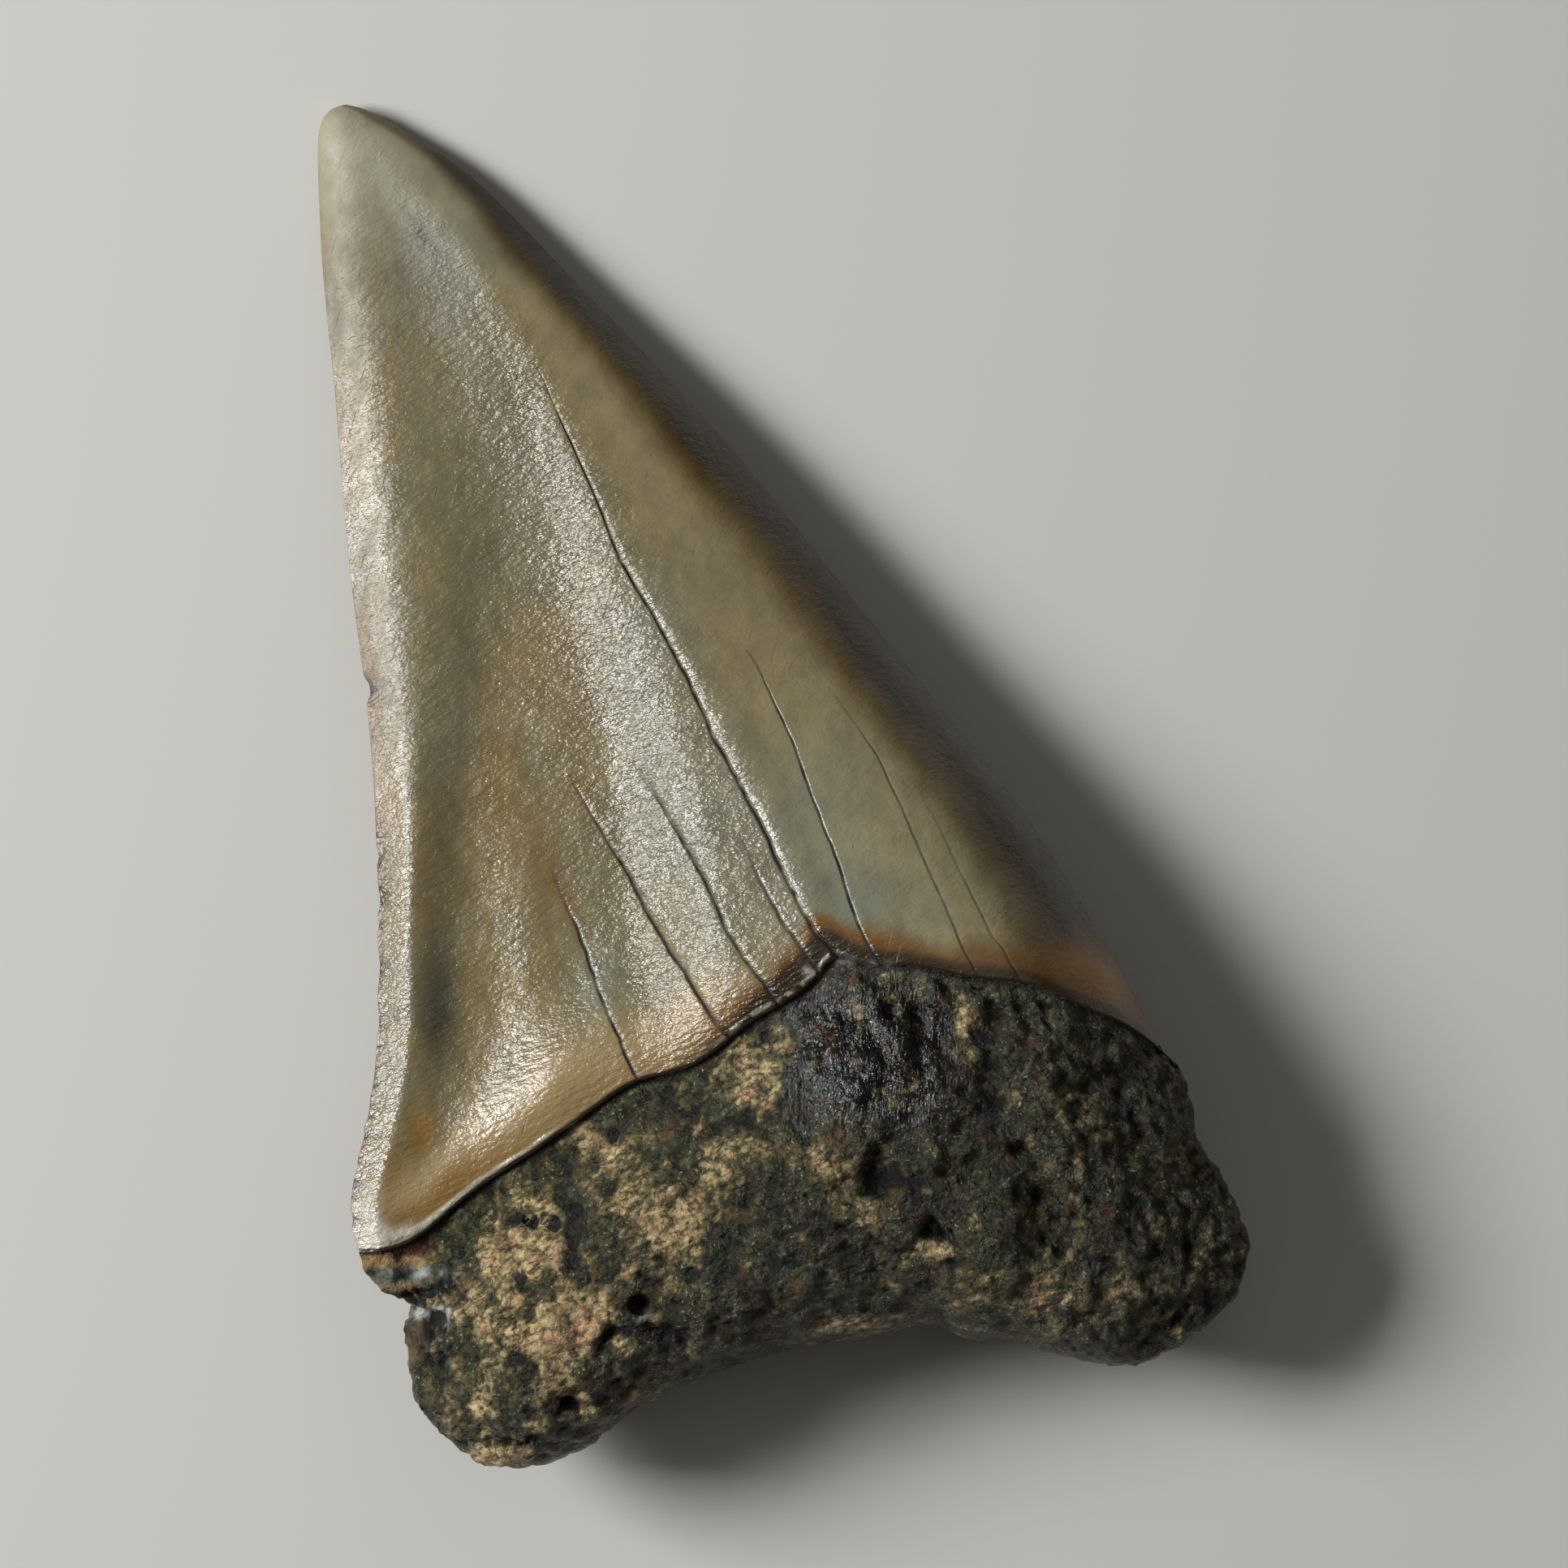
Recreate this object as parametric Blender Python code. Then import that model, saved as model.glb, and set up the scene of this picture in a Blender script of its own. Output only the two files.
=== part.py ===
"""Fossil mako shark tooth, one natural piece lying on its inner face with the outer face up.

The tip points along +Y, the root lies towards -Y and the thickness runs along +Z. The tooth is a
stack of closed rings from the tip to the basal edge of the root. Each ring runs along the outer
face from the left cutting edge to the right one, and back along the inner face. Shape functions
work in millimetres, and the mesh is written in metres.
"""

import bpy
import numpy as np
from mathutils import Vector, kdtree, noise

MM = 0.001

# Outline of the crown seen from above, from the tip down each cutting edge
TIP = (-16.25, 25.30)
LEFT_CUTTING_EDGE = [
    TIP, (-16.85, 25.08), (-17.20, 24.55), (-17.30, 23.80), (-17.26, 21.80), (-17.02, 18.20),
    (-16.63, 14.60), (-16.35, 11.00), (-15.99, 7.40), (-15.52, 3.80), (-15.16, 0.20),
    (-15.00, -3.40), (-14.98, -7.00), (-15.00, -9.60), (-15.22, -11.60), (-15.62, -13.60),
    (-15.93, -15.40), (-15.88, -16.60), (-15.62, -17.25),
]
RIGHT_CUTTING_EDGE = [
    TIP, (-15.55, 25.12), (-14.60, 24.62), (-12.70, 23.46), (-10.68, 21.78), (-8.36, 19.38),
    (-6.03, 16.98), (-3.78, 14.58), (-1.65, 12.18), (0.33, 9.78), (2.25, 7.38), (4.15, 4.98),
    (6.14, 2.58), (8.05, 0.18), (9.76, -2.22), (11.22, -4.62), (12.60, -7.02), (14.12, -9.87),
]

# Lower end of the enamel, from the left corner over the apex to the right corner
OUTER_ENAMEL_MARGIN = [
    (-15.62, -17.25), (-14.70, -17.20), (-13.70, -16.85), (-11.80, -15.35), (-10.25, -14.25),
    (-8.65, -13.20), (-6.60, -11.70), (-5.35, -10.95), (-3.40, -10.38), (-1.00, -8.65),
    (0.45, -7.80), (1.40, -6.95), (2.15, -6.30), (2.90, -6.55), (4.45, -6.62), (6.90, -7.05),
    (9.50, -7.42), (11.20, -8.20), (12.50, -8.75), (14.12, -9.87),
]
INNER_ENAMEL_MARGIN = [
    (-15.62, -17.25), (-13.40, -14.00), (-9.60, -9.20), (-4.80, -4.60), (-0.60, -2.60),
    (3.40, -2.50), (7.20, -3.90), (10.80, -6.50), (14.12, -9.87),
]

# Outline of the root, from the enamel corners down the sides and along the basal edge
LEFT_ROOT_SIDE = [
    (-15.62, -17.33), (-15.50, -17.90), (-15.15, -18.45), (-14.55, -18.85), (-14.05, -18.95),
    (-13.72, -19.20), (-13.80, -19.80), (-13.86, -20.60), (-13.76, -21.50), (-13.58, -22.60),
]
RIGHT_ROOT_SIDE = [
    (14.12, -9.95), (14.76, -10.60), (15.17, -11.80), (15.40, -13.00), (16.08, -14.20),
    (16.76, -15.50), (17.22, -16.80), (17.25, -17.80), (16.80, -19.00),
]
BASAL_EDGE = [
    (-13.58, -22.60), (-12.85, -23.85), (-12.05, -24.60), (-11.10, -25.02), (-9.90, -25.30),
    (-8.60, -25.06), (-7.20, -24.45), (-5.80, -23.43), (-4.60, -22.66), (-2.60, -21.90),
    (-0.40, -21.12), (1.90, -20.62), (4.10, -20.31), (5.60, -19.98), (6.90, -20.50),
    (8.60, -20.62), (10.30, -21.18), (12.10, -21.46), (13.90, -21.28), (15.40, -20.28),
    (16.80, -19.00),
]

# Long growth cracks of the enamel, from the upper end of each down to the margin
CRACKS = [
    [(-8.35, -3.60), (-6.85, -7.30), (-5.55, -10.40)],
    [(-7.70, 0.00), (-5.70, -3.25), (-3.55, -7.00), (-2.00, -9.20)],
    [(-5.30, 0.50), (-3.30, -2.70), (-1.60, -6.10), (-0.55, -7.45)],
    [(-9.00, 15.40), (-7.25, 11.00), (-5.35, 6.90), (-2.50, 0.75), (-0.50, -2.70), (1.90, -6.20)],
    [(-0.95, 4.55), (0.80, 0.55), (2.25, -3.40), (3.60, -6.40)],
    [(2.25, 2.90), (4.35, -0.65), (6.30, -4.95), (6.95, -6.60)],
]
CRACK_DEPTH = 0.16
CRACK_HALF_WIDTH = 0.007  # share of the crown's width

# Heights above the surface it rests on, against the share of the way from tip to enamel margin
EDGE_HEIGHT = [(0.0, 0.75), (0.10, 1.00), (0.30, 1.90), (0.50, 3.10), (0.70, 4.30), (0.90, 5.55), (1.0, 6.20)]
RIDGE_RISE = [
    (0.0, 0.0), (0.01, 0.34), (0.03, 0.60), (0.08, 0.90), (0.20, 1.38), (0.40, 2.15),
    (0.60, 2.85), (0.80, 3.45), (1.0, 3.90),
]
BEVEL_RISE = [
    (0.0, 0.0), (0.01, 0.24), (0.03, 0.40), (0.14, 0.70), (0.26, 0.88), (0.45, 0.88),
    (0.60, 0.75), (0.80, 0.64), (1.0, 0.52),
]
INNER_DEPTH = [
    (0.0, 0.0), (0.01, 0.42), (0.03, 0.74), (0.10, 0.98), (0.20, 1.15), (0.37, 1.75),
    (0.60, 2.90), (0.80, 4.00), (1.0, 4.80),
]
FLUTE_PLACE = [(0.0, 0.48), (0.14, 0.44), (0.20, 0.37), (0.33, 0.27), (0.55, 0.16), (0.75, 0.11), (1.0, 0.08)]
RIDGE_PLACE = 0.66  # share of the width, from the left edge
RIDGE_FALL = 0.60  # share of its rise that the ridge loses by the right edge
LEFT_BEVEL_SLOPE = 0.52
RIGHT_BEVEL_SLOPE = 1.30
LEFT_BEVEL_CREASE = 8.0
RIGHT_BEVEL_CREASE = 3.0
TIP_ROUNDED = (0.04, 0.20)  # shares of the length between which the lens-shaped tip turns into the ridge
FOOT_RISE = 0.50  # swelling of the enamel just above its margin, on the left
FOOT_ABOVE_MARGIN = 2.0
FOOT_WIDTH = 1.2
LIP_LEFT = 0.34  # step from the enamel down to the root
LIP_RIGHT = 0.16

# Root
BASAL_HEIGHT = 5.4
ROOT_TOP = 10.30
ROOT_FALL = 0.014  # drop of the root's outer face towards its sides, per square millimetre
ROOT_ROUNDING = 4.6
BULGE = (3.6, -10.4, 3.0, 0.55)  # x, y, radius and rise of the boss under the enamel apex
TORUS_CENTRE = (-1.0, -10.3)
TORUS_REACH = (9.4, 4.2)
TORUS_DEPTH = 2.7
WORN_FLAT_DEPTH = 0.28  # how much of the boss on the inner face is worn to a flat
LUMP_SIZE = 2.6
LUMP_RISE = 0.30
INNER_PIT = (-0.6, -13.9, 0.8, 0.7)  # nutrient opening on the inner face
OUTER_PITS = [
    (3.6, -14.2, 0.55, 0.50), (-5.2, -19.0, 0.50, 0.40), (-7.7, -22.6, 0.50, 0.40),
    (-9.0, -16.6, 0.80, 0.35), (9.4, -15.2, 0.70, 0.25), (-1.5, -16.2, 0.80, 0.30),
    (12.6, -18.0, 0.80, 0.25), (0.6, -12.0, 0.60, 0.20),
]
OUTER_GROOVES = [(4.95, -9.0, 0.35, 1.6, 0.30), (7.80, -9.2, 0.40, 1.4, 0.22)]  # x, y, half width, half length, depth

# Mesh
CROWN_ROWS = 32
ROOT_ROWS = 18
GAP_COLUMNS = [12, 3, 3, 4, 2, 3, 11]  # columns left of the first crack, between cracks, right of the last
SIDE_CROWDING = 0.12  # how much closer the root's columns lie at its sides
CURVE_POINTS = 700
ENAMEL_STEP = 0.08

ENAMEL_COLOUR = (0.27, 0.24, 0.18, 1.0)
ROUGHNESS = 0.35


def spline(x, knots, values):
    """Smooth curve through the values at the knots, read at x."""
    knots = np.asarray(knots, float)
    values = np.asarray(values, float).reshape(len(knots), -1)
    gap = np.diff(knots)
    rate = np.diff(values, axis=0) / gap[:, None]
    last = len(knots) - 1
    system = np.zeros((last + 1, last + 1))
    right = np.zeros_like(values)
    system[0, :2] = (2.0, 1.0)
    right[0] = 3.0 * rate[0]
    system[last, last - 1:] = (1.0, 2.0)
    right[last] = 3.0 * rate[-1]
    for i in range(1, last):
        system[i, i - 1:i + 2] = (gap[i], 2.0 * (gap[i - 1] + gap[i]), gap[i - 1])
        right[i] = 3.0 * (gap[i] * rate[i - 1] + gap[i - 1] * rate[i])
    tangent = np.linalg.solve(system, right)
    x = np.clip(np.asarray(x, float), knots[0], knots[-1])
    k = np.clip(np.searchsorted(knots, x, side="right") - 1, 0, last - 1)
    h = gap[k][:, None]
    s = ((x - knots[k]) / gap[k])[:, None]
    start = values[k] * (1.0 + 2.0 * s) * (1.0 - s) ** 2 + tangent[k] * h * s * (1.0 - s) ** 2
    end = values[k + 1] * s * s * (3.0 - 2.0 * s) + tangent[k + 1] * h * s * s * (s - 1.0)
    return start + end


def table(share, pairs):
    """Height table read at a share of the way."""
    knots, values = zip(*pairs)
    return np.interp(share, knots, values)


def soft_table(share, pairs):
    """Height table read as a smooth curve."""
    knots, values = zip(*pairs)
    flat = np.ravel(share)
    return spline(flat, knots, values)[:, 0].reshape(np.shape(share))


def even_curve(points, count=CURVE_POINTS):
    """Smooth curve through the points, as evenly spaced points."""
    corners = np.array(points, float)
    along = np.concatenate(([0.0], np.cumsum(np.linalg.norm(np.diff(corners, axis=0), axis=1))))
    fine = spline(np.linspace(0.0, along[-1], 4 * count), along, corners)
    run = np.concatenate(([0.0], np.cumsum(np.linalg.norm(np.diff(fine, axis=0), axis=1))))
    even = np.linspace(0.0, run[-1], count)
    return np.column_stack([np.interp(even, run, fine[:, k]) for k in (0, 1)])


def read_curve(curve, share):
    """Point of an even curve at a share of its length."""
    place = np.linspace(0.0, 1.0, len(curve))
    return np.stack([np.interp(share, place, curve[:, k]) for k in (0, 1)], axis=-1)


def soft_min(a, b, crease):
    """Lower of two heights, with the crease between them rounded."""
    a, b = np.maximum(a, 1e-6), np.maximum(b, 1e-6)
    low = np.minimum(a, b)
    return low * ((low / a) ** crease + (low / b) ** crease) ** (-1.0 / crease)


def smooth_step(x):
    """Ease from 0 to 1."""
    x = np.clip(x, 0.0, 1.0)
    return x * x * (3.0 - 2.0 * x)


class Crown:
    """Plan of the crown: where a share of the width and a share of the length lie."""

    def __init__(self, margin):
        self.left = even_curve(LEFT_CUTTING_EDGE)
        self.right = even_curve(RIGHT_CUTTING_EDGE)
        self.corners = np.array([margin[0], margin[-1]])
        line = even_curve(margin)
        self.margin = line[np.argsort(line[:, 0])]

    def chord(self, across):
        """Plan point on the straight line between the two enamel corners."""
        start, end = self.corners
        return start[0] + across * (end[0] - start[0]), start[1] + across * (end[1] - start[1])

    def bow(self, across):
        """Height of the enamel margin over the straight line between its corners."""
        x, y = self.chord(across)
        return np.interp(x, self.margin[:, 0], self.margin[:, 1]) - y

    def place(self, across, down):
        """Plan point at a share across and a share down the crown."""
        left = read_curve(self.left, down)
        right = read_curve(self.right, down)
        x = left[..., 0] + across * (right[..., 0] - left[..., 0])
        chord = left[..., 1] + across * (right[..., 1] - left[..., 1])
        return x, chord + down ** 2 * self.bow(across)

    def width(self, down):
        """Width of the crown at a share of its length."""
        return np.linalg.norm(read_curve(self.right, down) - read_curve(self.left, down), axis=-1)

    def find(self, x, y):
        """Share across and share down of a plan point."""
        low, high = 0.0, 1.0
        for _ in range(40):
            down = 0.5 * (low + high)
            left, right = read_curve(self.left, down), read_curve(self.right, down)
            across = np.clip((x - left[0]) / max(right[0] - left[0], 1e-6), 0.0, 1.0)
            if self.place(across, down)[1] > y:
                low = down
            else:
                high = down
        return across, down


def crack_paths(crown):
    """Share across of each crack against the share down, and where the crack starts."""
    paths = []
    for points in CRACKS:
        found = np.array([crown.find(x, y) for x, y in points])
        paths.append((found[:, 1], found[:, 0]))
    return paths


def crack_place(path, down):
    """Share across of a crack's line, carried on straight above and below it."""
    return np.interp(down, path[0], path[1])


def column_shares(paths, down):
    """Share across of every column of a ring, with three columns along each crack."""
    lines = [crack_place(path, down) for path in paths]
    marks = [0.0] + lines + [1.0]
    shares = [0.0]
    last_gap = len(GAP_COLUMNS) - 1
    for k, count in enumerate(GAP_COLUMNS):
        start = marks[k] + (CRACK_HALF_WIDTH if k else 0.0)
        end = marks[k + 1] - (CRACK_HALF_WIDTH if k < last_gap else 0.0)
        step = np.arange(1, count + 1) / count
        if k == 0:
            step = step ** 1.6
        if k == last_gap:
            step = 1.0 - (1.0 - step) ** 1.6
        shares.extend(start + (end - start) * step)
        if k < last_gap:
            shares.extend([marks[k + 1], marks[k + 1] + CRACK_HALF_WIDTH])
    return np.array(shares)


def crack_columns():
    """Index of the middle column of each crack."""
    columns = []
    index = 0
    for count in GAP_COLUMNS[:-1]:
        index += count + 1
        columns.append(index)
        index += 1
    return columns


def crown_outer(across, down, width, above_margin):
    """Rise of the enamel over the cutting edges on the outer face."""
    ridge = soft_table(down, RIDGE_RISE)
    bevel = soft_table(down, BEVEL_RISE)
    flute = soft_table(down, FLUTE_PLACE)
    climb = smooth_step(np.clip((across - flute) / (RIDGE_PLACE - flute), 0.0, 1.0) ** 1.12)
    beyond = np.clip((across - RIDGE_PLACE) / (1.0 - RIDGE_PLACE), 0.0, 1.0)
    before = np.clip((flute - across) / flute, 0.0, 1.0)
    share = climb - RIDGE_FALL * beyond ** 2 + 0.07 * before ** 2
    body = bevel + (ridge - bevel) * share
    fold = 0.26 * np.exp(-((across - 0.255) / 0.05) ** 2)
    body = body + fold * smooth_step((down - 0.5) / 0.2)
    foot = FOOT_RISE * np.exp(-((above_margin - FOOT_ABOVE_MARGIN) / FOOT_WIDTH) ** 2)
    body = body + foot * smooth_step((0.5 - across) / 0.25) * smooth_step((down - 0.6) / 0.25)
    body = body - 0.22 * np.exp(-above_margin / 0.35) * smooth_step((down - 0.8) / 0.15)
    left = LEFT_BEVEL_SLOPE * across * width
    right = RIGHT_BEVEL_SLOPE * (1.0 - across) * width
    trimmed = soft_min(right, soft_min(left, body, LEFT_BEVEL_CREASE), RIGHT_BEVEL_CREASE)
    lens = 0.9 * ridge * (1.0 - np.abs(2.0 * across - 1.0) ** 2.2) ** 0.75
    start, end = TIP_ROUNDED
    rise = lens + (trimmed - lens) * smooth_step((down - start) / (end - start))
    return np.where((across <= 0.0) | (across >= 1.0), 0.0, rise)


def crown_inner(across, down):
    """Depth of the enamel under the cutting edges on the inner face."""
    depth = soft_table(down, INNER_DEPTH)
    return depth * (1.0 - np.abs(2.0 * across - 1.0) ** 2.3) ** 0.8


class Root:
    """Plan of the root between the enamel margin and the basal edge."""

    def __init__(self, crown):
        self.crown = crown
        self.left = even_curve(LEFT_ROOT_SIDE)
        self.right = even_curve(RIGHT_ROOT_SIDE)
        self.basal = even_curve(BASAL_EDGE)

    def place(self, shares, down):
        """Plan points of a root row, filled in between its four border curves."""
        left, right = read_curve(self.left, down), read_curve(self.right, down)
        x, y = self.crown.chord(shares)
        top = np.stack([x, y + self.crown.bow(shares) - ENAMEL_STEP], axis=-1)
        bottom = read_curve(self.basal, shares)
        a = shares[:, None]
        corners = (1.0 - a) * ((1.0 - down) * top[0] + down * bottom[0])
        corners = corners + a * ((1.0 - down) * top[-1] + down * bottom[-1])
        filled = (1.0 - down) * top + down * bottom + (1.0 - a) * left + a * right - corners
        return filled[:, 0], filled[:, 1]


def outline_tree():
    """Search tree of the tooth's whole outline in plan."""
    curves = [LEFT_CUTTING_EDGE, RIGHT_CUTTING_EDGE, LEFT_ROOT_SIDE, RIGHT_ROOT_SIDE, BASAL_EDGE]
    points = np.concatenate([even_curve(points) for points in curves])
    tree = kdtree.KDTree(len(points))
    for i, (x, y) in enumerate(points):
        tree.insert((x, y, 0.0), i)
    tree.balance()
    return tree


def pit(x, y, place):
    """Depth of a round pit."""
    centre_x, centre_y, radius, depth = place
    return depth * np.exp(-((x - centre_x) ** 2 + (y - centre_y) ** 2) / radius ** 2)


def groove(x, y, place):
    """Depth of an upright groove."""
    centre_x, centre_y, half_width, half_length, depth = place
    return depth * np.exp(-((x - centre_x) / half_width) ** 2 - ((y - centre_y) / half_length) ** 4)


def lumps(x, y, z, size, rise):
    """Irregular lumps of the root's bone."""
    return np.array([
        rise * noise.fractal(Vector((a, b, c)) / size, 0.9, 2.1, 3) for a, b, c in zip(x, y, z)
    ])


def root_outer(x, y, inset, edge):
    """Height of the root's outer face, before the step at the enamel."""
    top = ROOT_TOP - ROOT_FALL * (x - 1.0) ** 2
    top = top + pit(x, y, BULGE)
    rounding = np.clip(inset / ROOT_ROUNDING, 0.0, 1.0)
    height = edge + (top - edge) * np.sqrt(1.0 - (1.0 - rounding) ** 2)
    hollow = sum(pit(x, y, place) for place in OUTER_PITS)
    hollow = hollow + sum(groove(x, y, place) for place in OUTER_GROOVES)
    inside = smooth_step(inset / 0.8)
    return height + (lumps(x, y, height, LUMP_SIZE, LUMP_RISE) - hollow) * inside


def root_inner(x, y, inset, edge):
    """Height of the root's inner face, with the worn flat that the tooth rests on."""
    reach = ((x - TORUS_CENTRE[0]) / TORUS_REACH[0]) ** 2 + ((y - TORUS_CENTRE[1]) / TORUS_REACH[1]) ** 2
    low = TORUS_DEPTH * (1.0 - np.exp(-0.5 * reach)) - WORN_FLAT_DEPTH
    low = low + lumps(x, y, low, LUMP_SIZE, 0.6 * LUMP_RISE) * smooth_step((reach - 0.3) / 0.6)
    low = low + pit(x, y, INNER_PIT)
    rounding = np.clip(inset / ROOT_ROUNDING, 0.0, 1.0)
    height = edge - (edge - low) * np.sqrt(1.0 - (1.0 - rounding) ** 2)
    return np.maximum(height, 0.0)


def inset_of(tree, x, y):
    """Distance of plan points from the outline."""
    return np.array([tree.find((a, b, 0.0))[2] for a, b in zip(x, y)])


def crown_rows(outer_plan, inner_plan):
    """Rings of the crown from just below the tip to the enamel margin."""
    paths = crack_paths(outer_plan)
    middle = crack_columns()
    rows = []
    for i in range(1, CROWN_ROWS + 1):
        down = (i / CROWN_ROWS) ** 1.25
        if i == CROWN_ROWS - 1:
            down = 0.988
        shares = column_shares(paths, down)
        x, y = outer_plan.place(shares, down)
        edge = table(down, EDGE_HEIGHT)
        margin_y = outer_plan.place(shares, 1.0)[1]
        z = edge + crown_outer(shares, np.full_like(shares, down), outer_plan.width(down), y - margin_y)
        rim_outer = z.copy()
        for column, path in zip(middle, paths):
            z[column] -= CRACK_DEPTH * smooth_step((down - path[0][0]) / 0.06)
        back = shares[::2][1:-1]
        back_x, back_y = inner_plan.place(back, down)
        back_z = np.maximum(edge - crown_inner(back, np.full_like(back, down)), 0.0)
        rows.append((np.stack([x, y, z], axis=-1), np.stack([back_x, back_y, back_z], axis=-1)))
    rim_inner = np.concatenate(([edge], back_z, [edge]))
    return rows, shares, rim_outer, rim_inner


def root_rows(outer_plan, inner_plan, shares, rim_outer, rim_inner):
    """Rings of the root from the enamel margin to the basal edge."""
    tree = outline_tree()
    outer_root, inner_root = Root(outer_plan), Root(inner_plan)
    even = np.linspace(0.0, 1.0, len(shares))
    even = even - SIDE_CROWDING * np.sin(2.0 * np.pi * even)
    lip = LIP_LEFT + (LIP_RIGHT - LIP_LEFT) * smooth_step((shares - 0.45) / 0.3)
    lip = lip * smooth_step(shares / 0.06) * smooth_step((1.0 - shares) / 0.06)
    rows = []
    for i in range(ROOT_ROWS + 1):
        step = i / ROOT_ROWS
        down = 1.0 - (1.0 - step) ** 1.35
        across = shares + (even - shares) * smooth_step(down / 0.6)
        edge = table(1.0, EDGE_HEIGHT) + (BASAL_HEIGHT - table(1.0, EDGE_HEIGHT)) * down
        fade = 1.0 - smooth_step(down / 0.42)
        x, y = outer_root.place(across, down)
        z = root_outer(x, y, inset_of(tree, x, y), edge)
        if i == 0:
            outer_shift = rim_outer - lip - z
        z = z + outer_shift * fade
        z[0] = z[-1] = edge
        if i == ROOT_ROWS:
            z[:] = edge
        outer = np.stack([x, y, z], axis=-1)
        back = across[::2]
        back_x, back_y = inner_root.place(back, down)
        back_z = root_inner(back_x, back_y, inset_of(tree, back_x, back_y), edge)
        if i == 0:
            inner_shift = rim_inner + 0.12 - back_z
        back_z = np.clip(back_z + inner_shift * fade, 0.0, edge)
        inner = np.stack([back_x, back_y, back_z], axis=-1)[1:-1]
        rows.append((outer, None if i == ROOT_ROWS else inner))
    return rows


def stack_mesh(tip, rows, name):
    """Closed mesh of the tip and the rings below it."""
    vertices = [tip]
    outer_index, inner_index = [], []
    for outer, inner in rows:
        first = len(vertices)
        vertices.extend(map(tuple, outer))
        outer_row = list(range(first, first + len(outer)))
        outer_index.append(outer_row)
        if inner is None:
            inner_index.append(outer_row[::2])
            continue
        first = len(vertices)
        vertices.extend(map(tuple, inner))
        inner_index.append([outer_row[0], *range(first, first + len(inner)), outer_row[-1]])
    faces = []
    for a, b in zip(outer_index[0], outer_index[0][1:]):
        faces.append((0, a, b))
    for a, b in zip(inner_index[0], inner_index[0][1:]):
        faces.append((0, b, a))
    for upper, lower in zip(outer_index, outer_index[1:]):
        for j in range(len(upper) - 1):
            faces.append((upper[j], lower[j], lower[j + 1], upper[j + 1]))
    for upper, lower in zip(inner_index[:-1], inner_index[1:-1]):
        for j in range(len(upper) - 1):
            faces.append((upper[j], upper[j + 1], lower[j + 1], lower[j]))
    upper, basal = inner_index[-2], outer_index[-1]
    for j in range(len(upper) - 1):
        faces.append((upper[j], upper[j + 1], basal[2 * j + 2], basal[2 * j + 1], basal[2 * j]))
    mesh = bpy.data.meshes.new(name)
    mesh.from_pydata([tuple(MM * c for c in vertex) for vertex in vertices], [], faces)
    mesh.validate()
    mesh.update()
    return mesh


def centre_on_base(mesh):
    """Move the mesh so that its box stands on the origin."""
    places = np.empty(len(mesh.vertices) * 3)
    mesh.vertices.foreach_get("co", places)
    places = places.reshape(-1, 3)
    low, high = places.min(axis=0), places.max(axis=0)
    places -= np.array([(low[0] + high[0]) / 2, (low[1] + high[1]) / 2, low[2]])
    mesh.vertices.foreach_set("co", places.ravel())
    mesh.update()


def fossil_material():
    """Polished grey-brown fossil enamel."""
    material = bpy.data.materials.new("fossil_enamel")
    material.use_nodes = True
    shader = material.node_tree.nodes["Principled BSDF"]
    shader.inputs["Base Color"].default_value = ENAMEL_COLOUR
    shader.inputs["Roughness"].default_value = ROUGHNESS
    shader.inputs["Metallic"].default_value = 0.0
    return material


def clear_scene():
    """Remove every object of the scene."""
    for thing in list(bpy.data.objects):
        bpy.data.objects.remove(thing, do_unlink=True)


def build_tooth():
    """The whole tooth as one closed solid."""
    outer_plan, inner_plan = Crown(OUTER_ENAMEL_MARGIN), Crown(INNER_ENAMEL_MARGIN)
    crown, shares, rim_outer, rim_inner = crown_rows(outer_plan, inner_plan)
    root = root_rows(outer_plan, inner_plan, shares, rim_outer, rim_inner)
    mesh = stack_mesh((*TIP, table(0.0, EDGE_HEIGHT)), crown + root, "tooth")
    centre_on_base(mesh)
    mesh.shade_smooth()
    mesh.materials.append(fossil_material())
    tooth = bpy.data.objects.new("tooth", mesh)
    bpy.context.scene.collection.objects.link(tooth)
    return tooth


clear_scene()
build_tooth()
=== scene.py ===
"""Dressed fossil mako shark tooth, lying on its inner face on a pale board.

The tooth is one piece. Its plan and heights are worked out in millimetres from the same driving
sizes as the solid that it stands for, on a mesh whose columns run along the growth cracks of the
enamel. Relief is then added along the surface's own normals, and the finishes are procedural.
"""

import logging
from dataclasses import dataclass, field
from enum import Enum
from typing import Any, Sequence

import bpy
import numpy as np
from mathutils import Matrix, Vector, kdtree, noise


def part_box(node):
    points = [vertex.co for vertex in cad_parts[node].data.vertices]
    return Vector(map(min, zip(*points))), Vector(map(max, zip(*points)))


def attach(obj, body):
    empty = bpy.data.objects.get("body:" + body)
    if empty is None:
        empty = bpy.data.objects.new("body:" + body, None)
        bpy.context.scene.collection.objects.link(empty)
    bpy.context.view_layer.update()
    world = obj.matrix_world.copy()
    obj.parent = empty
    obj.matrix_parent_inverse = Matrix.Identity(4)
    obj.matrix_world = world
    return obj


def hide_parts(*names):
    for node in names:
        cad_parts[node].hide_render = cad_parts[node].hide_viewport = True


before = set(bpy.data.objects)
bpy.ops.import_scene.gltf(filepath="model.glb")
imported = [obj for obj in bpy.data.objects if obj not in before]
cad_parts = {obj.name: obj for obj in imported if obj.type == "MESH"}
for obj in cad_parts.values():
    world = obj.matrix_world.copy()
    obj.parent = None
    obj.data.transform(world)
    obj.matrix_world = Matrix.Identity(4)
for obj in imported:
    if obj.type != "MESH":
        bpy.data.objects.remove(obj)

MM = 0.001
NODE = "tooth"
CURVE_POINTS = 700

Points = Sequence[tuple[float, float]]
log = logging.getLogger("fossil_tooth")


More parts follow.
